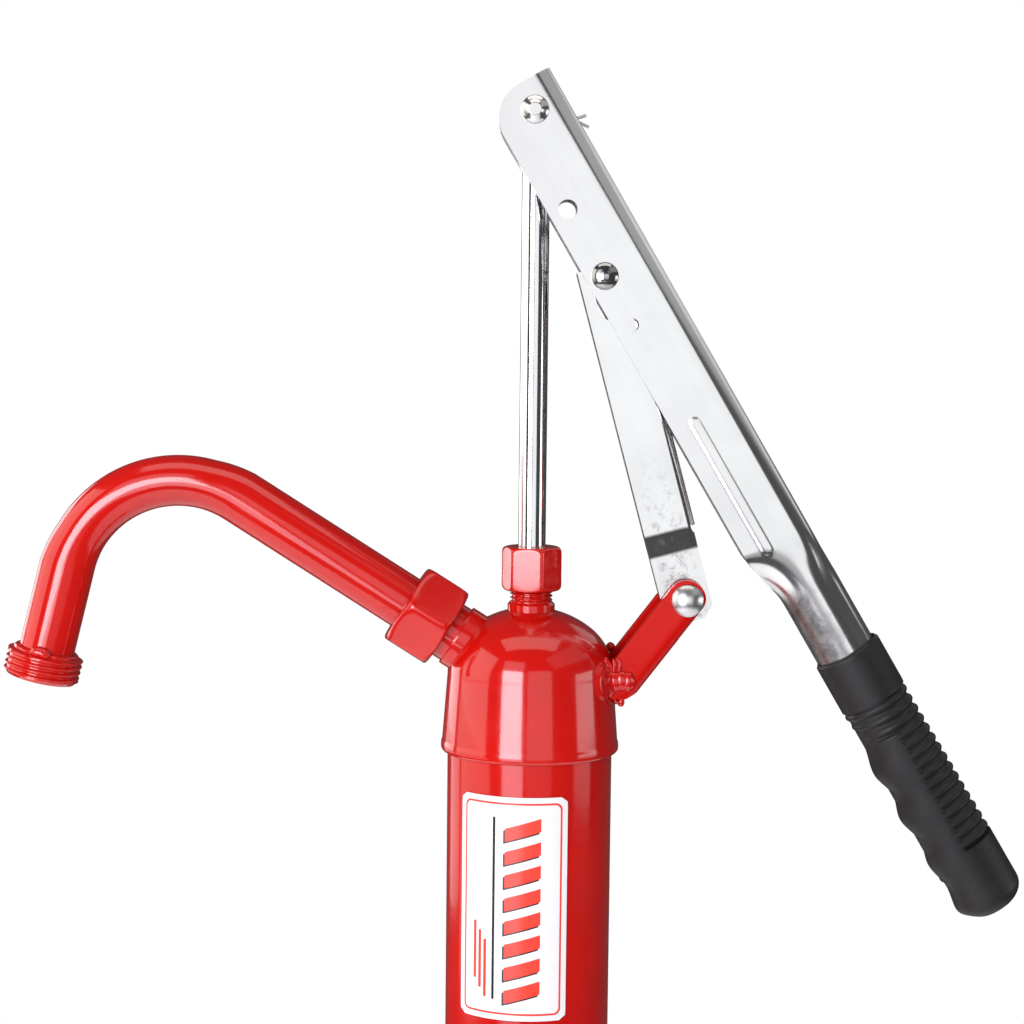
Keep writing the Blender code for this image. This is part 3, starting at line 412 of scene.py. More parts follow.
BRASS = mottled(
    "turned_brass", (300.0, 3.0), ((0.52, 0.34, 0.12), (0.74, 0.54, 0.24)), (0.36, 0.22), (0.05, 0.0003),
    scale=(0.1, 0.1, 3.0),
)
SEAL_RUBBER = mottled(
    "seal_rubber", (700.0, 3.0), ((0.015, 0.015, 0.015), (0.03, 0.03, 0.03)), 0.7, (0.1, 0.0003), 0.0
)
GRIP_RUBBER = grip_rubber()
PACKING = packing()
LABEL = label_print()


# --- mesh tools ---


def turns(count):
    """The angles of evenly spaced points round a circle."""
    return [2 * pi * i / count for i in range(count)]


def spaced(low, high, count):
    """Evenly spaced values from low, stopping one step short of high."""
    return [low + (high - low) * i / count for i in range(count)]


def skin(bm, rows, closed=False):
    """Faces between rings of points. A ring may be a single point, and a closed skin joins its ends."""
    for row, after in list(zip(rows, rows[1:])) + ([(rows[-1], rows[0])] if closed else []):
        sides = max(len(row), len(after))
        for i in range(sides if sides > 1 else 0):
            j = (i + 1) % sides
            if len(row) == 1:
                bm.faces.new((row[0], after[j], after[i]))
            elif len(after) == 1:
                bm.faces.new((row[i], row[j], after[0]))
            else:
                bm.faces.new((row[i], row[j], after[j], after[i]))


def new_object(name, data, place=Matrix.Identity(4)):
    obj = bpy.data.objects.new(name, data)
    bpy.context.scene.collection.objects.link(obj)
    obj.matrix_world = place
    return obj


def mesh_object(name, bm, place=Matrix.Identity(4)):
    mesh = bpy.data.meshes.new(name)
    bm.to_mesh(mesh)
    bm.free()
    return new_object(name, mesh, place)


def mesh_piece(name, bm, place, crease=32.0):
    """A closed piece, shaded smooth except at edges sharper than crease."""
    bmesh.ops.recalc_face_normals(bm, faces=bm.faces)
    obj = mesh_object(name, bm, place)
    smooth(obj, crease)
    return obj


def smooth(obj, crease=32.0):
    for polygon in obj.data.polygons:
        polygon.use_smooth = True
    obj.data.set_sharp_from_angle(angle=radians(crease))


def arc(centre_x, centre_z, radius, start, end, count):
    """Points round an arc from one angle to another, in degrees."""
    angles = [radians(start + (end - start) * i / (count - 1)) for i in range(count)]
    return [(centre_x + radius * cos(a), centre_z + radius * sin(a)) for a in angles]


def rounded(points, radius, count=4):
    """A closed outline whose corners are eased with short curves."""
    result = []
    for i, point in enumerate(points):
        here, before, after = Vector(point), Vector(points[i - 1]), Vector(points[(i + 1) % len(points)])
        reach = min(radius, (before - here).length * 0.45, (after - here).length * 0.45)
        start = here + (before - here).normalized() * reach
        end = here + (after - here).normalized() * reach
        for k in range(count + 1):
            t = k / count
            result.append(tuple(start * (1 - t) ** 2 + here * 2 * t * (1 - t) + end * t * t))
    return result


ON_AXIS = 1e-7


def supported(profile, closed):
    """Adds points near the ends of long stretches, so that smooth shading stays flat between them."""
    long_run, inset = 0.002, 0.00015
    result = []
    follow = profile[1:] + (profile[:1] if closed else [])
    for here, after in zip(profile, follow):
        result.append(here)
        run = Vector(after) - Vector(here)
        if run.length > long_run:
            step = run.normalized() * inset
            if here[0] > ON_AXIS:
                result.append(tuple(Vector(here) + step))
            if after[0] > ON_AXIS:
                result.append(tuple(Vector(after) - step))
    return result if closed else result + [profile[-1]]


def turned(name, profile, place, steps=96, shape=None, closed=True, crease=32.0):
    """A turned solid from (radius, height) points; shape(radius, angle, height) may alter a radius."""
    bm = bmesh.new()
    rows = []
    for r, z in supported(profile, closed):
        if r < ON_AXIS:
            rows.append([bm.verts.new((0.0, 0.0, z))])
            continue
        row = []
        for angle in turns(steps):
            radius = shape(r, angle, z) if shape else r
            row.append(bm.verts.new((radius * cos(angle), radius * sin(angle), z)))
        rows.append(row)
    skin(bm, rows, closed)
    return mesh_piece(name, bm, place, crease)


def hexagonal(flats, turn=0.0, ease=0.00025):
    """A shape for turned(): limits a radius to a hexagon with eased corners."""

    def shape(radius, angle, height):
        limit = 0.0
        for i in range(6):
            side = angle - radians(60 * i + turn)
            if cos(side) > 0.2:
                limit += exp(-(flats / 2 / cos(side)) / ease)
        limit = -ease * log(limit)
        if radius < limit - 8 * ease:
            return radius
        return -ease * log(exp(-radius / ease) + exp(-limit / ease))

    return shape


def threaded(crest, depth, pitch, low, high):
    """A shape for turned(): cuts a helical thread between two heights where the radius is the crest's."""

    def shape(radius, angle, height):
        if radius < crest - depth * 0.5 or not low <= height <= high:
            return radius
        turn = (height - low) / pitch - angle / (2 * pi)
        share = abs((turn % 1.0) * 2 - 1)
        share = min(max(share * 1.5 - 0.2, 0.0), 1.0)
        share = share * share * (3 - 2 * share)
        ends = min((height - low) / (pitch * 0.3), (high - height) / (pitch * 0.3), 1.0)
        return radius - depth * share * max(ends, 0.0)

    return shape


def subdivided(points, spacing, low, high, radius):
    """Points down a straight outer wall between two heights, close enough for a thread."""
    count = max(2, round((high - low) / spacing))
    return points + [(radius, high - (high - low) * i / count) for i in range(count + 1)]


def sheet_from_rings(name, rings, thickness, place, crease=32.0):
    """Sheet metal: rows of points on its outside, thickened inwards."""
    bm = bmesh.new()
    rows = [[bm.verts.new(p) for p in ring] for ring in rings]
    for row, after in zip(rows, rows[1:]):
        for i in range(len(row) - 1):
            bm.faces.new((row[i], after[i], after[i + 1], row[i + 1]))
    obj = mesh_object(name, bm, place)
    solid = obj.modifiers.new("sheet", "SOLIDIFY")
    solid.thickness = thickness
    solid.offset = -1.0
    solid.use_even_offset = True
    return settled(obj, crease)


def settled(obj, crease=32.0):
    """Applies the modifiers and removes the tools that they used."""
    tools = [m.object for m in obj.modifiers if m.type == "BOOLEAN"]
    bpy.context.view_layer.update()
    done = obj.evaluated_get(bpy.context.evaluated_depsgraph_get())
    mesh = bpy.data.meshes.new_from_object(done)
    obj.modifiers.clear()
    old = obj.data
    obj.data = mesh
    bpy.data.meshes.remove(old)
    for tool in tools:
        bpy.data.objects.remove(tool, do_unlink=True)
    smooth(obj, crease)
    return obj


def boolean(obj, tool, operation="DIFFERENCE"):
    modifier = obj.modifiers.new(tool.name, "BOOLEAN")
    modifier.operation = operation
    modifier.solver = "EXACT"
    modifier.object = tool


def round_tool(radius, length, place):
    profile = [(0, length / 2), (radius, length / 2), (radius, -length / 2), (0, -length / 2)]
    return turned("round_tool", profile, place, 48, closed=False)


def drill(place, radius):
    """A tool for a hole across the lever, the link or the bracket."""
    return round_tool(radius, 0.04, place @ ACROSS)


def box_tool(size, place):
    bm = bmesh.new()
    bmesh.ops.create_cube(bm, size=1.0)
    bmesh.ops.scale(bm, vec=Vector(size), verts=bm.verts)
    return mesh_piece("box_tool", bm, place)


def prism(name, outline, thickness, place):
    """An (X, Z) outline extruded along Y about the middle plane."""
    bm = bmesh.new()
    near = [bm.verts.new((x, -thickness / 2, z)) for x, z in outline]
    far = [bm.verts.new((x, thickness / 2, z)) for x, z in outline]
    bm.faces.new(near)
    bm.faces.new(list(reversed(far)))
    for i in range(len(outline)):
        j = (i + 1) % len(outline)
        bm.faces.new((near[j], near[i], far[i], far[j]))
    return mesh_piece(name, bm, place)


def eased(obj, width, segments, angle):
    """Rounds the edges sharper than an angle a little, and settles the piece."""
    bevel = obj.modifiers.new("ease", "BEVEL")
    bevel.width = width
    bevel.segments = segments
    bevel.limit_method = "ANGLE"
    bevel.angle_limit = radians(angle)
    return settled(obj, 38.0)


def swept(name, points, radii, place, sides):
    """A round bar or bead along points, with a radius at each."""
    bm = bmesh.new()
    rows = []
    side = Vector((0, 1, 0))
    for i, (point, radius) in enumerate(zip(points, radii)):
        along = (points[min(i + 1, len(points) - 1)] - points[max(i - 1, 0)]).normalized()
        first = (side - along * side.dot(along)).normalized()
        second = along.cross(first)
        rows.append([
            bm.verts.new(point + (first * cos(a) + second * sin(a)) * radius) for a in turns(sides)
        ])
    skin(bm, rows)
    bm.faces.new(rows[0])
    bm.faces.new(rows[-1])
    return mesh_piece(name, bm, place, 50.0)


def dress(obj, material, body, slot, *nodes):
    """Gives a piece its material and its body, and hides the CAD nodes it stands for."""
    bpy.context.view_layer.update()
    obj.data.transform(obj.matrix_world)
    obj.matrix_world = Matrix.Identity(4)
    obj.data.materials.clear()
    obj.data.materials.append(material)
    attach(obj, body)
    if nodes:
        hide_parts(*nodes)


# --- cylinder, cap and gland ---

CROWN_R, CROWN_Z = 0.034, RIM + 0.016
KNUCKLE_R, KNUCKLE_X = 0.020, 0.0088
KNUCKLE_RISE = sqrt((CROWN_R - KNUCKLE_R) ** 2 - KNUCKLE_X**2)
KNUCKLE_Z = CROWN_Z + KNUCKLE_RISE
KNUCKLE_ANGLE = degrees(atan2(KNUCKLE_RISE, KNUCKLE_X))
CAP_SIDE_R, CAP_TAPER, CAP_FOOT = 0.0288, 0.0017, RIM + 0.0042  # its side widens from the knuckle down
CAP_RIM_EASE = 0.0016
CAP_SOCKET_R, CAP_STEP, CAP_WALL = 0.0289, 0.0093, 0.002


def cap_side(offset=0.0):
    """The head's outline from its crown to the underside of its rim."""
    crown = arc(0, CROWN_Z, CROWN_R + offset, 75.5, KNUCKLE_ANGLE, 12)
    knuckle = arc(KNUCKLE_X, KNUCKLE_Z, KNUCKLE_R + offset, KNUCKLE_ANGLE, 0, 24)[1:]
    side = []
    for i in range(1, 9):
        share = i / 8
        side.append((CAP_SIDE_R + offset + CAP_TAPER * share, KNUCKLE_Z + (CAP_FOOT - KNUCKLE_Z) * share))
    rim = [(CAP_RIM_R - 0.0001 + offset, RIM + 0.0034), (CAP_RIM_R + offset, RIM + 0.0024)]
    rim += arc(CAP_RIM_R - CAP_RIM_EASE + offset, RIM + CAP_RIM_EASE, CAP_RIM_EASE, 0, -90, 7)
    return crown + knuckle + side + rim


def make_cap():
    inside = [(CAP_SOCKET_R, RIM + 0.0003), (CAP_SOCKET_R, RIM + CAP_STEP), (0.027, RIM + CAP_STEP)]
    inside += arc(KNUCKLE_X, KNUCKLE_Z, KNUCKLE_R - CAP_WALL, 0, KNUCKLE_ANGLE, 12)[:-1]
    inside += arc(0, CROWN_Z, CROWN_R - CAP_WALL, KNUCKLE_ANGLE, 74.6, 8)
    cap = turned("domed_head", cap_side() + inside, upright(), 144)
    boolean(cap, round_tool(0.0115, 0.045, SPOUT_FRAME @ upright(z=0.040)))
    dress(settled(cap), RED, "pump_body", "red_paint", "cap")


def make_cylinder():
    low, high = CYLINDER_LOW.z, CYLINDER_HIGH.z
    outline = [(CYLINDER_R, high), (CYLINDER_R, low), (0.0267, low), (0.0267, high)]
    body = turned("pump_cylinder", rounded(outline, 0.0004, 2), upright(), 144)
    dress(body, RED, "pump_body", "red_paint", "cylinder")


def make_gland():
    boss_low, boss_top, neck_top = RIM + 0.042, RIM + 0.0517, RIM + 0.062
    boss_r, thread_r, bore, packing_bore = 0.0082, 0.00735, 0.0051, 0.0063
    low, high = boss_top + 0.0004, neck_top - 0.0004
    profile = subdivided([(0.0066, neck_top)], 0.00018, low, high, thread_r)
    profile += [(0.0078, boss_top), (boss_r, boss_top - 0.0004), (boss_r, boss_low)]
    profile += [(bore, boss_low), (bore, boss_top), (packing_bore, boss_top), (packing_bore, neck_top)]
    thread = threaded(thread_r, 0.0008, 0.0014, low, high)
    boss = turned("gland_neck", profile, upright(), 96, thread)
    dress(boss, RED, "pump_body", "red_paint", "gland_boss")


def nut_profile(flats, low, high, face, ease, bores):
    """A nut's outline, rounded from its flat face's radius; bores are (radius, height) points, from low."""
    corner = flats / sqrt(3) + 0.0004
    upper = []
    for angle in range(0, 91, 6):
        share = radians(angle)
        upper.append((face + (corner - face) * sin(share), high - ease * (1 - cos(share))))
    straight = [(corner, z) for z in spaced(high - ease, low + ease, 6)[1:]]
    lower = [(r, low + high - z) for r, z in reversed(upper)]
    return upper + straight + lower + bores


def make_packing_nut():
    low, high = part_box("packing_nut")[0].z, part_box("packing_nut")[1].z
    flats = 0.0185
    bores = [(0.0081, low), (0.00765, low + 0.0004), (0.00765, low + 0.0105), (0.0051, low + 0.0105)]
    bores += [(0.0051, high - 0.0003), (0.0056, high)]
    profile = nut_profile(flats, low, high, 0.0084, 0.0030, bores)
    nut = turned("packing_nut_body", profile, upright(), 144, hexagonal(flats, 19.4))
    dress(nut, RED, "packing_nut", "red_paint", "packing_nut")


# --- spout ---


def spout_path():
    """Centreline of the gooseneck in the spout's frame, with the share of bend at each point."""
    count, easing = 64, 10
    bend = radians(BEND_ANGLE)
    points = [Vector((0, 0, z)) for z in spaced(SPOUT_TUBE_FROM, BEND_FROM, 24)]
    for i in range(count + 1):
        angle = bend * i / count
        points.append(Vector((-BEND_R * (1 - cos(angle)), 0, BEND_FROM + BEND_R * sin(angle))))
    outlet = Vector((-sin(bend), 0, cos(bend)))
    start = points[-1]
    points += [start + outlet * OUTLET_LENGTH * i / 12 for i in range(1, 13)]
    shares = [0.0] * 24 + [min(min(i, count - i) / easing, 1.0) for i in range(count + 1)] + [0.0] * 12
    return points, shares


def make_spout_tube():
    """The bent tube, flattened on the outer side of its bend and open at both ends. Returns its end."""
    points, shares = spout_path()
    bm = bmesh.new()

    def row(point, along, radius, flat):
        first = Vector((0, 1, 0))
        second = along.cross(first)
        ring = []
        for angle in turns(64):
            squash = 0.13 if sin(angle) < 0 else 0.02
            wide = radius * (1 + 0.010 * flat) * cos(angle)
            deep = radius * (1 - squash * flat) * sin(angle)
            ring.append(bm.verts.new(point + first * wide + second * deep))
        return ring

    outside, inside = [], []
    for i, point in enumerate(points):
        along = (points[min(i + 1, len(points) - 1)] - points[max(i - 1, 0)]).normalized()
        outside.append(row(point, along, SPOUT_TUBE_R, shares[i]))
        inside.append(row(point, along, SPOUT_TUBE_R - SPOUT_WALL, shares[i]))
    skin(bm, outside + list(reversed(inside)), closed=True)
    dress(mesh_piece("gooseneck_tube", bm, SPOUT_FRAME, 40.0), RED, "spout", "red_paint", "spout_tube")
    return points[-1]


def make_hose_collar(end):
    """The hose-thread collar: a coarse rounded thread with a plain lip, and its weld to the tube."""
    place = SPOUT_FRAME @ Matrix.Translation(end) @ Matrix.Rotation(radians(180 - BEND_ANGLE), 4, "Y")
    low, high, top = 0.0013, COLLAR_LENGTH - 0.0006, COLLAR_LENGTH
    bore = SPOUT_TUBE_R + GAP
    profile = [(bore, top - 0.0002), (0.0115, top), (0.0121, top - 0.0004)]
    profile = subdivided(profile, 0.00016, low, high, COLLAR_R)
    profile += [(0.0123, 0.0007), (0.0118, 0.0001), (bore, 0.0001)]
    thread = threaded(COLLAR_R, 0.0010, 0.0021, low, high)
    collar = turned("hose_thread", profile, place, 128, thread, crease=50.0)
    dress(collar, RED, "spout", "red_paint", "hose_thread_collar")
    bead = arc(0.0102, top + 0.0001, 0.0011, 90, -225, 12)
    weld = turned("collar_weld", bead, place, 120, ripple(16, 0.00022))
    dress(weld, WELD_RED, "spout", "red_paint")
    points = [(0.0035, -0.0100, 0.0098), (-0.0002, -0.0109, 0.0106), (-0.0038, -0.0100, 0.0100)]
    dress(weld_bead("collar_weld_blob", points, 0.0019, place, 3), WELD_RED, "spout", "red_paint")


def ripple(count, depth):
    """A shape for turned(): a bead's ripples round the joint."""

    def shape(radius, angle, height):
        return radius + depth * abs(sin(count * angle / 2)) - depth / 2

    return shape


def weld_bead(name, points, size, place, ripples, depth=0.14):
    """A short weld along a curve through the points, with scallops where each pass set."""
    count = 12 * ripples
    path, radii = [], []
    spots = [Vector(p) for p in points]
    for i in range(count + 1):
        t = i / count * (len(spots) - 1)
        k = min(int(t), len(spots) - 2)
        path.append(spots[k].lerp(spots[k + 1], t - k))
        end = min(i, count - i) / count
        swell = max(sqrt(min(end * 5, 1.0)), 0.12)
        scallop = 1 - depth + depth * abs(cos(pi * ripples * i / count))
        radii.append(size * swell * scallop)
    for _ in range(3):
        path = [path[0]] + [(a + b * 2 + c) / 4 for a, b, c in zip(path, path[1:], path[2:])] + [path[-1]]
    return swept(name, path, radii, place, 20)


def make_spigot():
    low, high, step = 0.024, 0.043, 0.0306
    profile = [(0.0096, high), (0.0103, high - 0.0006), (0.0103, step), (0.0112, step), (0.0112, low)]
    profile += [(0.008, low), (0.008, high)]
    spigot = turned("spout_spigot_pipe", rounded(profile, 0.0002, 2), SPOUT_FRAME, 96)
    dress(spigot, RED, "pump_body", "red_paint", "spout_spigot")


def make_spout_nut():
    low, high, flats = 0.0342, 0.0515, 0.0286
    bores = [(0.0119, low), (0.0115, low + 0.0004), (0.0115, 0.0484), (0.0099, 0.0484)]
    bores += [(0.0099, high - 0.0004), (0.0104, high)]
    profile = nut_profile(flats, low, high, 0.0124, 0.0046, bores)
    nut = turned("spout_union_nut", profile, SPOUT_FRAME, 180, hexagonal(flats, 9.0, 0.00040))
    dress(nut, RED, "spout_nut", "red_paint", "spout_nut")


# --- lever, grip and link ---


def channel_section(half, edge, back, bend, walls, bends, backs):
    """(Y, height) points round the outside of a U-channel, from the near open edge to the far one."""
    near = [(-half, height) for height in spaced(edge, back - bend, walls)]
    corner = arc(-half + bend, back - bend, bend, 180, 90, bends + 1)
    flat = [(y, back) for y in spaced(-half + bend, 0.0, backs)[1:]]
    side = near + corner + flat
    return side + [(0.0, back)] + [(-y, h) for y, h in reversed(side)]


def smooth_step(value, low, high):
    share = min(max((value - low) / (high - low), 0.0), 1.0)
    return share * share * (3 - 2 * share)


def lever_edge(s):
    centre = LEVER_END + LEVER_CORNER_R
    if s >= centre:
        return LEVER_EDGE
    return LEVER_EDGE + LEVER_CORNER_R - sqrt(max(LEVER_CORNER_R**2 - (centre - s) ** 2, 0.0))


def rib_rise(s, height):
    """How far the wall stands out at a place on it: a long rib with round ends."""
    along = max(RIB_FROM - s, s - RIB_TO, 0.0)
    reach = hypot(along, height - RIB_LINE)
    return RIB_RISE * (1 - smooth_step(reach, RIB_HALF * 0.35, RIB_HALF))


def lever_ring(s):
    """The lever's outside at s along it: a ribbed channel that rolls into a tube towards the grip."""
    section = channel_section(LEVER_HALF, lever_edge(s), LEVER_BACK, LEVER_BEND_R, 30, 12, 5)
    last = len(section) - 1
    seam = 3.0
    ring = []
    for i, (y, height) in enumerate(section):
        wall = abs(i / last - 0.5) * 2
        share = smooth_step(s, ROLL_FROM + 0.004 * (1 - wall), ROLL_TO)
        angle = radians(270 - seam - (360 - 2 * seam) * i / last)
        round_y = LEVER_TUBE_R * cos(angle)
        round_height = LEVER_TUBE_LINE + LEVER_TUBE_R * sin(angle)
        if abs(y) > LEVER_HALF * 0.98:
            y += copysign(rib_rise(s, height), y)
        ring.append(Vector((s, y + (round_y - y) * share, height + (round_height - height) * share)))
    return ring


def make_lever():
    corner = LEVER_END + LEVER_CORNER_R
    rib, tube = RIB_FROM - 0.004, ROLL_TO + 0.003
    stations = [LEVER_END + LEVER_CORNER_R * (1 - cos(radians(a))) for a in range(0, 90, 4)]
    stations += spaced(corner, rib, 40) + spaced(rib, tube, 110) + spaced(tube, LEVER_TUBE_END, 24)
    stations += [LEVER_TUBE_END]
    lever = sheet_from_rings("lever_sheet", [lever_ring(s) for s in stations], LEVER_SHEET, LEVER_FRAME)
    holes = [((0, 0), PIN_HOLE_R), (LINK_RIVET, 0.0028), (SPARE_HOLE, 0.0033), (SMALL_HOLE, 0.0024)]
    for (x, z), radius in holes:
        boolean(lever, drill(LEVER_FRAME @ upright(x, 0, z), radius))
    dress(settled(lever, 40.0), LEVER_ZINC, "lever", "zinc_plate", "lever_channel")


GRIP_BACK = [
    (0.0, 0.0119), (0.018, 0.0119), (0.0200, 0.0118), (0.060, 0.0125), (0.079, 0.0129), (0.105, 0.0130),
]
FINGER_WAVES = [
    (0.0, 0.0122), (0.020, 0.0122), (0.0320, 0.0112), (0.0435, 0.0132), (0.0530, 0.0110), (0.0620, 0.0131),
    (0.0725, 0.0107), (0.0810, 0.0124), (0.0910, 0.0106), (0.1005, 0.0117), (0.105, 0.0100),
]


def eased_between(table, value):
    """A smooth run through (position, height) points."""
    for (a, low), (b, high) in zip(table, table[1:]):
        if value <= b:
            return low + (high - low) * smooth_step(value, a, b)
    return table[-1][1]


def grip_radius(s, angle):
    """The grip's radius at s from its collar's end; angle 90 is its back, 270 the finger side."""
    lip, lip_length, end_from, end_length, end_share = 0.0008, 0.0012, 0.0985, 0.0072, 0.35
    up = sin(angle)
    back = eased_between(GRIP_BACK, s)
    front = eased_between(FINGER_WAVES, s)
    side = GRIP_HALF - 0.0002 * smooth_step(s, 0.018, 0.022)
    reach = side + (back - side) * max(up, 0.0) ** 2 + (front - side) * max(-up, 0.0) ** 2
    end = max(s - end_from, 0.0)
    closing = sqrt(max(1 - (end / end_length) ** 2, 0.0)) if end else 1.0
    shoulder = lip * smooth_step(s, 0.0, lip_length) - lip
    return (reach - ring_depth(s, up) + shoulder) * (end_share + (1 - end_share) * closing)


def ring_depth(s, up):
    """Grooves across the grip's back; the first three run right round it."""
    first, last, count, depth = 0.0195, 0.0795, 15, 0.00115
    if not first <= s <= last:
        return 0.0
    phase = (s - first) / (last - first) * count
    groove = (0.5 - 0.5 * cos(2 * pi * phase)) ** 0.8
    all_round = 1 - smooth_step(s, first + 0.0118, first + 0.0128)
    return depth * (1 - groove) * max(all_round, smooth_step(up, 0.02, 0.14))


def make_grip():
    """The rubber sleeve, with a blind bore for the lever's tube."""
    length, bore_depth, steps, sides = GRIP_TO - GRIP_FROM, 0.088, 420, 128
    bm = bmesh.new()

    def row(s, radius_at, lift=0.0):
        spots = [(radius_at(angle), angle) for angle in turns(sides)]
        return [bm.verts.new((s, r * cos(a), lift + r * sin(a))) for r, a in spots]

    rows = []
    for i in range(steps + 1):
        s = length * i / steps
        rows.append(row(s, lambda angle: grip_radius(s, angle)))
    for s in (0.0, bore_depth):
        rows.insert(0, row(s, lambda angle: LEVER_TUBE_R + GAP, LEVER_TUBE_LINE - GRIP_LINE))
    skin(bm, rows)
    bm.faces.new(rows[0])
    bm.faces.new(rows[-1])
    grip = mesh_piece("grip_sleeve", bm, LEVER_FRAME @ upright(GRIP_FROM, 0, GRIP_LINE), 60.0)
    dress(grip, GRIP_RUBBER, "lever", "grip_rubber", "grip")


def joggle_share(s):
    """How far the link has stepped in at s: a straight slope with short round ends."""
    ease = 0.0007
    low, high = WALL_END + ease, JOGGLE_END - ease
    share = (s - low) / (high - low)
    edge = ease / (high - low)
    if share < edge:
        return max(share + edge, 0.0) ** 2 / (4 * edge)
    if share > 1 - edge:
        return 1 - max(1 + edge - share, 0.0) ** 2 / (4 * edge)
    return share


def make_link():
    """The plated link: a channel whose walls step in to two flat ears, with open hooks at its top."""
    stations = spaced(LINK_TOP, WALL_END, 30) + spaced(WALL_END, JOGGLE_END, 24)
    stations += spaced(JOGGLE_END, EAR_END, 8) + [EAR_END]
    rings = []
    for s in stations:
        half = LINK_HALF + (LINK_EAR_HALF - LINK_HALF) * joggle_share(s)
        below = smooth_step(s, WALL_END, JOGGLE_END)
        back = LINK_BACK + (LINK_EAR_BACK + 0.0024 - LINK_BACK) * below
        section = channel_section(half, LINK_EDGE, back, LINK_BEND_R - 0.0010 * below, 8, 8, 4)
        rings.append([Vector((s, y, height)) for y, height in section])
    link = sheet_from_rings("link_sheet", rings, LINK_SHEET, LINK_FRAME, 24.0)
    inner = 2 * (LINK_EAR_HALF - LINK_SHEET)
    below_web = WALL_END + 0.0205
    tools = [
        box_tool((0.040, inner, 0.020), LINK_FRAME @ upright(below_web, 0, LINK_BACK - 0.0075)),
        box_tool((0.040, 0.030, 0.010), LINK_FRAME @ upright(below_web, 0, LINK_EAR_BACK + 0.005)),
        drill(LINK_FRAME @ upright(LINK_LENGTH), PIN_HOLE_R),
    ]
    for side, turn in ((LINK_EDGE, 45), (LINK_EAR_BACK, -45)):
        place = LINK_FRAME @ upright(EAR_END + 0.0004, 0, side)
        tools.append(box_tool((0.006, 0.03, 0.02), place @ Matrix.Rotation(radians(turn), 4, "Y")))
    hook = rounded([(0.0153, 0.0140), (-0.0100, 0.0140), (-0.0100, -0.0048), (0.0153, -0.0048)], 0.0055, 8)
    tools.append(prism("hook_tool", hook, 0.040, LINK_FRAME))
    for tool in tools:
        boolean(link, tool)
    dress(settled(link, 24.0), LINK_ZINC, "link", "zinc_plate", "link_channel")


# --- pins ---


def make_pin(name, place, outline, shank, far, material, body, node, far_head=None):
    """A headed pin along -Y from an outline of its head that ends at the shank."""
    profile = [(0.0, outline[0][1])] + outline + [(shank, outline[-1][1]), (shank, far)]
    if far_head:
        profile += [(far_head, far), (far_head, far - 0.0012), (far_head * 0.6, far - 0.0023)]
        profile += [(0.0, far - 0.0024)]
    else:
        profile += [(shank - 0.0006, far - 0.0002), (0.0, far - 0.0002)]
    pin = turned(name, profile, place @ ACROSS, 64, closed=False, crease=45.0)
    dress(pin, material, body, "zinc_plate", node)


DOME_R, DOME_END, DOME_LIFT = 0.0075, radians(48), 0.0008


def make_pins():
    """The clevis pin (P3), the lever and link's rivet (P2) and the bracket's rivet (P1)."""
    outside = LEVER_HALF + GAP
    top = outside + 0.0024
    clevis = [(0.0021, top), (0.0023, top - 0.0001), (0.0025, top - 0.0004), (0.0028, top - 0.0006)]
    clevis += [(0.0037, top - 0.0011), (0.0044, outside + 0.0009), (0.0047, outside + 0.0005)]
    clevis += [(0.0048, outside + 0.0002), (0.0048, outside)]
    make_pin("clevis_pin_body", LEVER_FRAME, clevis, 0.003, -0.0154, PIN_ZINC, "lever", "clevis_pin")
    place = LEVER_FRAME @ upright(LINK_RIVET[0], 0, LINK_RIVET[1])
    head_r = 0.0047
    dome = [(0.0016, top), (0.0019, top - 0.0002)]
    for angle in (0.5, 0.7, 0.9, 1.1, 1.3, 1.5):
        dome.append((head_r * sin(angle), outside + (top - outside) * cos(angle)))
    dome += [(head_r, outside)]
    make_pin("link_rivet_body", place, dome, 0.0025, -outside, DARK_ZINC, "lever", "link_rivet", 0.0044)
    face = BRACKET_HALF + GAP
    centre = face + DOME_LIFT - DOME_R * cos(DOME_END)
    dome = arc(0.0, centre, DOME_R, 86, 90 - degrees(DOME_END), 13)
    dome += [(DOME_R * sin(DOME_END), face)]
    make_pin(
        "bracket_rivet_body", BRACKET_FRAME, dome, 0.003, -face, RIVET_ZINC, "pump_body", "bracket_rivet",
        0.0050,
    )


def make_washer(name, place, outer, inner, low, high, material, body, node):
    outline = rounded([(outer, high), (outer, low), (inner, low), (inner, high)], 0.0002, 2)
    ring = turned(name, outline, place @ ACROSS, 64)
    dress(ring, material, body, "zinc_plate", node)


def make_washers():
    inner, outer = LINK_EAR_HALF + GAP, BRACKET_HALF - BRACKET_SHEET - GAP
    for side, low, high in (("near", inner, outer), ("far", -outer, -inner)):
        make_washer(
            f"pivot_washer_{side}", BRACKET_FRAME, 0.0060, 0.0033, low, high, PIN_ZINC, "pump_body",
            f"bracket_washer_{side}",
        )
    make_washer(
        "cotter_washer", LEVER_FRAME, 0.0062, 0.0033, -0.0121, -LEVER_HALF - GAP, PIN_ZINC, "lever",
        "clevis_washer",
    )


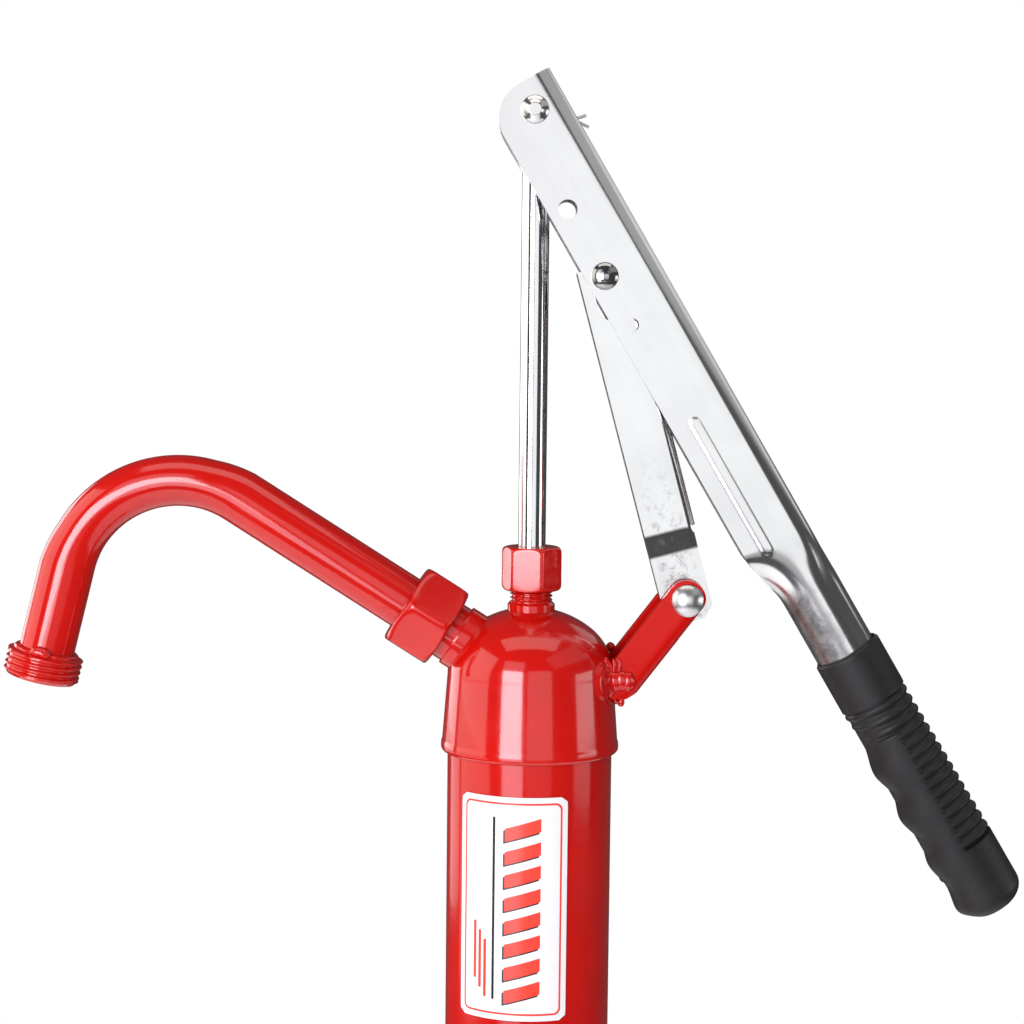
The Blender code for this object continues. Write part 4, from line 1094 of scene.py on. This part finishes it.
def make_cotter():
    """The split pin behind the lever: an eye on one side, spread legs on the other."""
    upper = [(0.0179, 0.0002), (0.0163, -0.0004), (0.0148, -0.0007), (0.0132, -0.0005), (0.0100, 0.0001)]
    upper += [(0.0045, 0.00075), (-0.0010, 0.00075), (-0.0040, 0.00075)]
    eye = arc(-0.0062, 0.0, 0.0019, 55, 305, 22)
    lower = [(-0.0040, -0.00075), (-0.0010, -0.00075), (0.0045, -0.00075), (0.0100, -0.0013)]
    lower += [(0.0132, -0.0018), (0.0148, -0.0021), (0.0168, -0.0029), (0.0189, -0.0039)]
    points = [Vector((x, 0.0, z)) for x, z in upper + eye + lower]
    place = LEVER_FRAME @ upright(0, 0.0136, 0) @ Matrix.Rotation(radians(LEVER_ANGLE - 90), 4, "Y")
    wire = swept("split_pin", points, [0.00055] * len(points), place, 12)
    dress(wire, PIN_ZINC, "lever", "zinc_plate", "cotter_pin")


# --- bracket ---


def make_bracket():
    """The folded red channel, cut to the dome."""
    section = channel_section(BRACKET_HALF, -BRACKET_HIGH, -BRACKET_LOW, 0.0042, 8, 10, 4)
    stations = spaced(-0.048, 0.012, 20) + [0.012]
    rings = [[Vector((s, y, -height)) for y, height in reversed(section)] for s in stations]
    bracket = sheet_from_rings("bracket_channel", rings, BRACKET_SHEET, BRACKET_FRAME)
    radius = (BRACKET_HIGH - BRACKET_LOW) / 2
    middle = (BRACKET_HIGH + BRACKET_LOW) / 2
    outline = [(BRACKET_FOOT, BRACKET_HIGH), (BRACKET_FOOT, 0.0004), (-0.0398, -0.0045)]
    outline += [(-0.0357, BRACKET_LOW)] + arc(0.0, middle, radius, -90, 90, 33)
    boolean(bracket, prism("bracket_outline", outline, 0.05, BRACKET_FRAME), "INTERSECT")
    inner = 2 * (BRACKET_HALF - BRACKET_SHEET)
    boolean(bracket, box_tool((0.030, inner, 0.030), BRACKET_FRAME @ upright(BRACKET_WEB_END + 0.015)))
    foot = [(0.0, RIM + 0.052)] + cap_side(GAP)[:-4] + [(CAP_RIM_R + GAP, RIM - 0.02), (0, RIM - 0.02)]
    boolean(bracket, turned("cap_tool", foot, upright(), 96, closed=False))
    boolean(bracket, drill(BRACKET_FRAME, PIN_HOLE_R))
    eased(bracket, 0.0004, 3, 50.0)
    dress(bracket, BRACKET_RED, "pump_body", "red_paint", "bracket")


def dome_radius(z):
    """The head's outer radius at a height."""
    if z > KNUCKLE_Z:
        rise = z - KNUCKLE_Z
        if rise < KNUCKLE_R * sin(radians(KNUCKLE_ANGLE)):
            return KNUCKLE_X + sqrt(KNUCKLE_R**2 - rise**2)
        return sqrt(max(CROWN_R**2 - (z - CROWN_Z) ** 2, 0.0))
    return CAP_SIDE_R + CAP_TAPER * (KNUCKLE_Z - z) / (KNUCKLE_Z - CAP_FOOT)


def on_dome(y, z, lift):
    """The place on the head's right side at a Y and a height, lifted off it a little."""
    radius = dome_radius(z) + lift
    return (sqrt(max(radius**2 - y**2, 0.0)), y, z)


def dome_patch(name, azimuths, heights, rise):
    """A low swelling of paint and weld on the head, highest in its middle. Azimuth 0 is to the right."""
    columns, rows = 24, 28
    bm = bmesh.new()
    outer, inner = [], []
    for j in range(rows + 1):
        z = heights[0] + (heights[1] - heights[0]) * j / rows
        for i in range(columns + 1):
            azimuth = radians(azimuths[0] + (azimuths[1] - azimuths[0]) * i / columns)
            reach = hypot(2 * i / columns - 1, 2 * j / rows - 1)
            lift = rise * (1 - smooth_step(reach, 0.55, 1.0)) - GAP
            for ring, radius in ((outer, dome_radius(z) + lift), (inner, dome_radius(z) - 0.0009)):
                ring.append(bm.verts.new((radius * cos(azimuth), radius * sin(azimuth), z)))
    across = columns + 1
    for j in range(rows):
        for i in range(columns):
            first = j * across + i
            corners = (first, first + 1, first + across + 1, first + across)
            bm.faces.new([outer[k] for k in corners])
            bm.faces.new([inner[k] for k in reversed(corners)])
    border = [i for i in range(across)] + [j * across + columns for j in range(1, rows + 1)]
    border += [rows * across + i for i in reversed(range(columns))]
    border += [j * across for j in reversed(range(1, rows))]
    for a, b in zip(border, border[1:] + border[:1]):
        bm.faces.new((outer[a], inner[a], inner[b], outer[b]))
    return mesh_piece(name, bm, upright(), 50.0)


def make_bracket_welds():
    """Beads and lumps where the bracket's ears and web meet the head."""

    def bead(name, points, size, ripples, *depth, place=upright()):
        dress(weld_bead(name, points, size, place, ripples, *depth), WELD_RED, "pump_body", "red_paint")

    for side, name in ((-1, "near"), (1, "far")):
        edge = side * (BRACKET_HALF - 0.0003)
        points = [on_dome(edge, RIM + z, 0.0004) for z in (0.0345, 0.031, 0.027, 0.023, 0.0205)]
        bead(f"ear_weld_{name}", points, 0.0017, 5)
        patch = (-43.0, -17.0) if side < 0 else (17.0, 43.0)
        saddle = dome_patch(f"ear_weld_saddle_{name}", patch, (RIM + 0.0185, RIM + 0.0345), 0.0015)
        dress(saddle, WELD_RED, "pump_body", "red_paint")
        face = side * (BRACKET_HALF + 0.0002)
        shell = upright(0.0313, face, RIM + 0.0262) @ Matrix.Scale(0.55, 4, (0, 1, 0))
        points = [(-0.0050, 0, -0.0006), (0, 0, 0.0002), (0.0046, 0, -0.0004)]
        bead(f"ear_weld_shell_{name}", points, 0.0034, 4, 0.09, place=shell)
        for k, x in enumerate((0.0284, 0.0302)):
            steps = ((0, 0.0290), (0.0003, 0.0318), (-0.0002, 0.0342))
            points = [(x + right, face, RIM + up) for right, up in steps]
            bead(f"ear_weld_ridge_{name}_{k + 1}", points, 0.0007, 2, 0.05)
    bead("ear_weld_top", [(0.0270, 0.0085, RIM + 0.0362), (0.0292, 0.0095, RIM + 0.0340)], 0.0017, 2)
    points = [on_dome(y, RIM + 0.0192, 0.0012) for y in (-0.0095, -0.005, 0.0, 0.005, 0.0095)]
    bead("web_weld", points, 0.0020, 6)
    bead("web_weld_drop", [(0.0313, -0.0100, RIM + 0.0205), (0.0311, -0.0102, RIM + 0.0172)], 0.0012, 2)


# --- rod ---


def make_rod():
    radius = ROD_HIGH.x
    outline = [(0.0, ROD_HIGH.z), (radius, ROD_HIGH.z), (radius, ROD_LOW.z), (0.0, ROD_LOW.z)]
    rod = turned("pump_rod", outline, upright(), 96, closed=False)
    dress(rod, CHROME, "rod", "chrome", "piston_rod")


# --- foot, adapter and suction tubes ---


def make_foot():
    low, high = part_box("base_cup")
    floor = CYLINDER_LOW.z - GAP
    shoulder, neck_r, bore = 0.0123, 0.0175, 0.013
    outline = [
        (high.x, high.z), (high.x, shoulder), (neck_r, shoulder), (neck_r, low.z), (bore, low.z),
        (bore, floor), (CAP_SOCKET_R, floor), (CAP_SOCKET_R, high.z),
    ]
    cup = turned("foot_cup", rounded(outline, 0.0009, 3), upright(), 128)
    dress(cup, RED, "pump_body", "red_paint", "base_cup")


def make_adapter():
    """The bung adapter: a hexagon above the drum's face at height 0, and a coarse thread below it."""
    low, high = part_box("bung_adapter")
    flats, thread_r = high.y - low.y, 0.0298
    thread_low, thread_high = low.z + 0.0008, -0.0018
    bore, seat_bore, seat = 0.016175, 0.0178, -0.0083
    corner = flats / sqrt(3)
    profile = [(0.0210, high.z)]
    for i in range(9):
        share = i / 8
        radius = flats / 2 - 0.001 + (corner + 0.0014 - flats / 2) * share
        profile.append((radius, high.z - 0.0022 * share**1.25))
    profile += [(corner + 0.0004, z) for z in spaced(high.z, 0.0006, 5)[1:] + [0.0006]]
    profile += [(corner - 0.0010, 0.0), (thread_r + 0.0016, 0.0), (thread_r - 0.0004, -0.0010)]
    profile = subdivided(profile, 0.0003, thread_low, thread_high, thread_r)
    profile += [(thread_r - 0.0022, low.z), (bore, low.z), (bore, seat), (seat_bore, seat)]
    profile += [(seat_bore, high.z - 0.0008), (0.0186, high.z)]
    hexagon = hexagonal(flats, 30.0, 0.0005)
    thread = threaded(thread_r, 0.0012, 0.0022, thread_low, thread_high)

    def shape(radius, angle, height):
        return (hexagon if height > -0.0005 else thread)(radius, angle, height)

    adapter = turned("drum_bung_adapter", profile, upright(), 180, shape)
    dress(adapter, PIPE_ZINC, "pump_body", "zinc_plate", "bung_adapter")


def make_pipe(name, node, bore, body):
    low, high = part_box(node)
    radius = high.x
    outline = rounded([(radius, high.z), (radius, low.z), (bore, low.z), (bore, high.z)], 0.0004, 2)
    dress(turned(name, outline, upright(), 96), PIPE_ZINC, body, "zinc_plate", node)


def knurl(count, depth, outer, low, high):
    """A shape for turned(): upright grooves round an outer wall, between two heights."""

    def shape(radius, angle, height):
        if radius < outer or not low < height < high:
            return radius
        return radius - depth * (0.5 - 0.5 * cos(count * angle)) ** 2

    return shape


def make_telescope():
    """The knurled collar at the foot of the upper suction tube, which the lower tube slides through."""
    low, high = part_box("telescope_collar")
    foot, lip_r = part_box("suction_tube_upper")[0].z - 0.0065, 0.0190
    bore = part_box("suction_tube_upper")[1].x + GAP
    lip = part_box("suction_tube_lower")[1].x + GAP
    profile = [(lip_r, high.z), (0.0196, high.z - 0.0004), (high.x - 0.0002, high.z - 0.0022)]
    top, bottom = high.z - 0.0024, low.z + 0.0024
    profile += [(high.x, z) for z in spaced(top, bottom, 20) + [bottom]]
    profile += [(0.0196, low.z + 0.0004), (lip_r, low.z), (lip, low.z), (lip, foot)]
    profile += [(bore, foot), (bore, high.z)]
    grooves = knurl(40, 0.0006, 0.0200, low.z + 0.003, high.z - 0.003)
    collar = turned("telescope_nut", profile, upright(), 240, grooves)
    dress(collar, PIPE_ZINC, "pump_body", "zinc_plate", "telescope_collar")


def make_strainer():
    """The strainer's shell, with four notches in its foot."""
    low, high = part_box("inlet_strainer")
    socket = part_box("suction_tube_lower")[1].x + GAP
    ledge, ledge_r, ledge_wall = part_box("suction_tube_lower")[0].z - GAP, 0.0115, 0.002
    outline = [
        (high.x, high.z), (high.x, low.z), (socket, low.z), (socket, ledge - ledge_wall),
        (ledge_r, ledge - ledge_wall), (ledge_r, ledge), (socket, ledge), (socket, high.z),
    ]
    shell = turned("strainer_shell", rounded(outline, 0.0005, 2), upright(), 96)
    for i in range(2):
        place = upright(z=low.z) @ Matrix.Rotation(radians(90 * i), 4, "Z")
        boolean(shell, box_tool((0.05, 0.008, 0.012), place))
    dress(settled(shell), PIPE_ZINC, "lower_tube", "zinc_plate", "inlet_strainer")


# --- label ---

LABEL_ARC, LABEL_MIDDLE, LABEL_CORNER, LABEL_SHEET = 78.0, -12.5, 0.0023, 0.00012


def make_label():
    """A thin printed film, curved round the cylinder, with round corners. Its UVs are millimetres."""
    low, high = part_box("label_plate")
    radius = CYLINDER_R + GAP + 0.0001
    width = radians(LABEL_ARC) * radius
    height, middle = high.z - low.z, (low.z + high.z) / 2
    columns, rows = 72, 48
    bm = bmesh.new()
    layer = bm.loops.layers.uv.new("UVMap")
    grid, places = [], {}
    for j in range(rows + 1):
        v = (j / rows - 0.5) * height
        inset = max(abs(v) - (height / 2 - LABEL_CORNER), 0.0)
        trim = LABEL_CORNER - sqrt(max(LABEL_CORNER**2 - inset**2, 0.0))
        line = []
        for i in range(columns + 1):
            u = (i / columns - 0.5) * (width - 2 * trim)
            angle = radians(LABEL_MIDDLE) + u / radius
            vert = bm.verts.new((radius * sin(angle), -radius * cos(angle), middle + v))
            places[vert] = (u * 1000, v * 1000)
            line.append(vert)
        grid.append(line)
    for row, after in zip(grid, grid[1:]):
        for i in range(columns):
            face = bm.faces.new((row[i], row[i + 1], after[i + 1], after[i]))
            for loop in face.loops:
                loop[layer].uv = places[loop.vert]
    label = mesh_object("label_film", bm)
    solid = label.modifiers.new("film", "SOLIDIFY")
    solid.thickness = LABEL_SHEET
    solid.offset = 1.0
    dress(settled(label, 40.0), LABEL, "pump_body", "label_film", "label_plate")


# --- stage ---


PANEL_DISTANCE = 1.3
STAGE_MIDDLE = Vector((0.0, 0.0, 0.36))
ROOM_FILL, ROOM_MIRRORED = 0.36, 0.065
FLOOR_R = 0.95
WARM, NEUTRAL, COOL = (1.0, 0.94, 0.86), (1.0, 1.0, 1.0), (1.0, 0.96, 1.04)
PANELS = [
    ("panel_far_left", (-142, -115), (-11.5, 20), 2.4, NEUTRAL),
    ("panel_far_left_foot", (-142, -115), (-22, -11.5), 1.0, NEUTRAL),
    ("panel_left", (-109, -58), (-8.5, 38), 1.6, WARM),
    ("panel_left_foot", (-109, -58), (-26, -8.5), 1.0, WARM),
    ("panel_key", (-39, -11), (-9.5, 15), 10.0, COOL),
    ("panel_key_top", (-39, -11), (15, 34), 1.2, COOL),
    ("panel_key_foot", (-38, -10), (-26, -9.5), 3.0, COOL),
    ("panel_front", (-4, 29), (-12.5, 17), 1.0, NEUTRAL),
    ("panel_front_foot", (-4, 29), (-23, -12.5), 0.35, NEUTRAL),
    ("panel_right", (64, 100), (-9.5, 4), 2.3, NEUTRAL),
    ("panel_right_foot", (64, 100), (-18, -9.5), 0.9, NEUTRAL),
    ("panel_upper_right", (36, 104), (23, 50), 0.34, NEUTRAL),
    ("panel_back_right", (107, 152), (14, 36), 0.58, NEUTRAL),
    ("panel_top", (-30, 30), (64, 96), 1.4, WARM),
]


def light_panel(name, azimuths, elevations, radiance, colour):
    """A soft panel facing the object. Azimuth 0 is in front of it, and positive is to the right."""
    azimuth, elevation = (radians(sum(ends) / 2) for ends in (azimuths, elevations))
    across = cos(elevation)
    toward = Vector((sin(azimuth) * across, -cos(azimuth) * across, sin(elevation)))
    data = bpy.data.lights.new(name, "AREA")
    data.shape = "RECTANGLE"
    data.size, data.size_y = (
        2 * PANEL_DISTANCE * tan(radians(high - low) / 2) for low, high in (azimuths, elevations)
    )
    data.energy = radiance * pi * data.size * data.size_y
    data.color = colour
    lamp = new_object(name, data)
    lamp.location = STAGE_MIDDLE + toward * PANEL_DISTANCE
    lamp.rotation_euler = (-toward).to_track_quat("-Z", "Y").to_euler()
    lamp.visible_camera = False


def studio_world():
    """White behind the object, a pale room for the fill light and a dim one for what it mirrors."""
    world = bpy.data.worlds.new("studio")
    bpy.context.scene.world = world
    world.use_nodes = True
    nodes, links = world.node_tree.nodes, world.node_tree.links
    room, backdrop = nodes["Background"], nodes.new("ShaderNodeBackground")
    for background in (room, backdrop):
        background.inputs["Color"].default_value = (1, 1, 1, 1)
        background.inputs["Strength"].default_value = 1.0
    path = nodes.new("ShaderNodeLightPath")
    strength = nodes.new("ShaderNodeMapRange")
    strength.inputs["To Min"].default_value = ROOM_FILL
    strength.inputs["To Max"].default_value = ROOM_MIRRORED
    mix = nodes.new("ShaderNodeMixShader")
    links.new(path.outputs["Is Glossy Ray"], strength.inputs["Value"])
    links.new(strength.outputs["Result"], room.inputs["Strength"])
    links.new(path.outputs["Is Camera Ray"], mix.inputs["Fac"])
    links.new(room.outputs[0], mix.inputs[1])
    links.new(backdrop.outputs[0], mix.inputs[2])
    links.new(mix.outputs[0], nodes["World Output"].inputs["Surface"])


def make_stage():
    bm = bmesh.new()
    bmesh.ops.create_circle(bm, cap_ends=True, segments=96, radius=FLOOR_R)
    floor = mesh_piece("studio_floor", bm, upright(z=LOWEST - 0.0005))
    floor.data.materials.append(white_floor())
    studio_world()
    bpy.context.scene.view_settings.view_transform = "Standard"
    for panel in PANELS:
        light_panel(*panel)


def make_camera():
    data = bpy.data.cameras.new("camera")
    data.lens = LENS
    data.sensor_width = 36.0
    data.clip_end = 100.0
    tilt = Matrix.Rotation(radians(90 + CAMERA_PITCH), 4, "X")
    roll = Matrix.Rotation(radians(CAMERA_ROLL), 4, "Z")
    camera = new_object("camera", data, Matrix.Translation(CAMERA_PLACE) @ tilt @ roll)
    bpy.context.scene.camera = camera


KEPT = {
    "cap_gasket": SEAL_RUBBER, "gland_follower": BRASS, "spout_ferrule": STEEL, "spout_gasket": SEAL_RUBBER,
    "pivot_spacer": STEEL, "clevis_spacer_near": STEEL, "clevis_spacer_far": STEEL, "rod_end": STEEL,
    "piston_body": BRASS, "piston_cup": SEAL_RUBBER, "cup_retainer": STEEL, "piston_nut": STEEL,
    "piston_valve_disc": BRASS, "valve_stop": STEEL, "foot_valve_seat": BRASS, "foot_valve_ball": STEEL,
    "foot_valve_cage": BRASS, "telescope_oring": SEAL_RUBBER, "guide_ring": BRASS, "strainer_screen": BRASS,
    "packing_ring_1": PACKING, "packing_ring_2": PACKING, "packing_ring_3": PACKING,
}


def dress_kept_nodes():
    for node, material in KEPT.items():
        mesh = frame["nodes"][node].data
        mesh.materials.clear()
        mesh.materials.append(material)


def main():
    make_camera()
    make_stage()
    make_cylinder()
    make_cap()
    make_gland()
    make_packing_nut()
    make_spigot()
    make_spout_nut()
    make_hose_collar(make_spout_tube())
    make_lever()
    make_grip()
    make_link()
    make_pins()
    make_washers()
    make_cotter()
    make_bracket()
    make_bracket_welds()
    make_rod()
    make_foot()
    make_adapter()
    make_pipe("upper_suction_pipe", "suction_tube_upper", 0.014275, "pump_body")
    make_pipe("lower_suction_pipe", "suction_tube_lower", 0.0118, "lower_tube")
    make_telescope()
    make_strainer()
    make_label()
    dress_kept_nodes()


main()
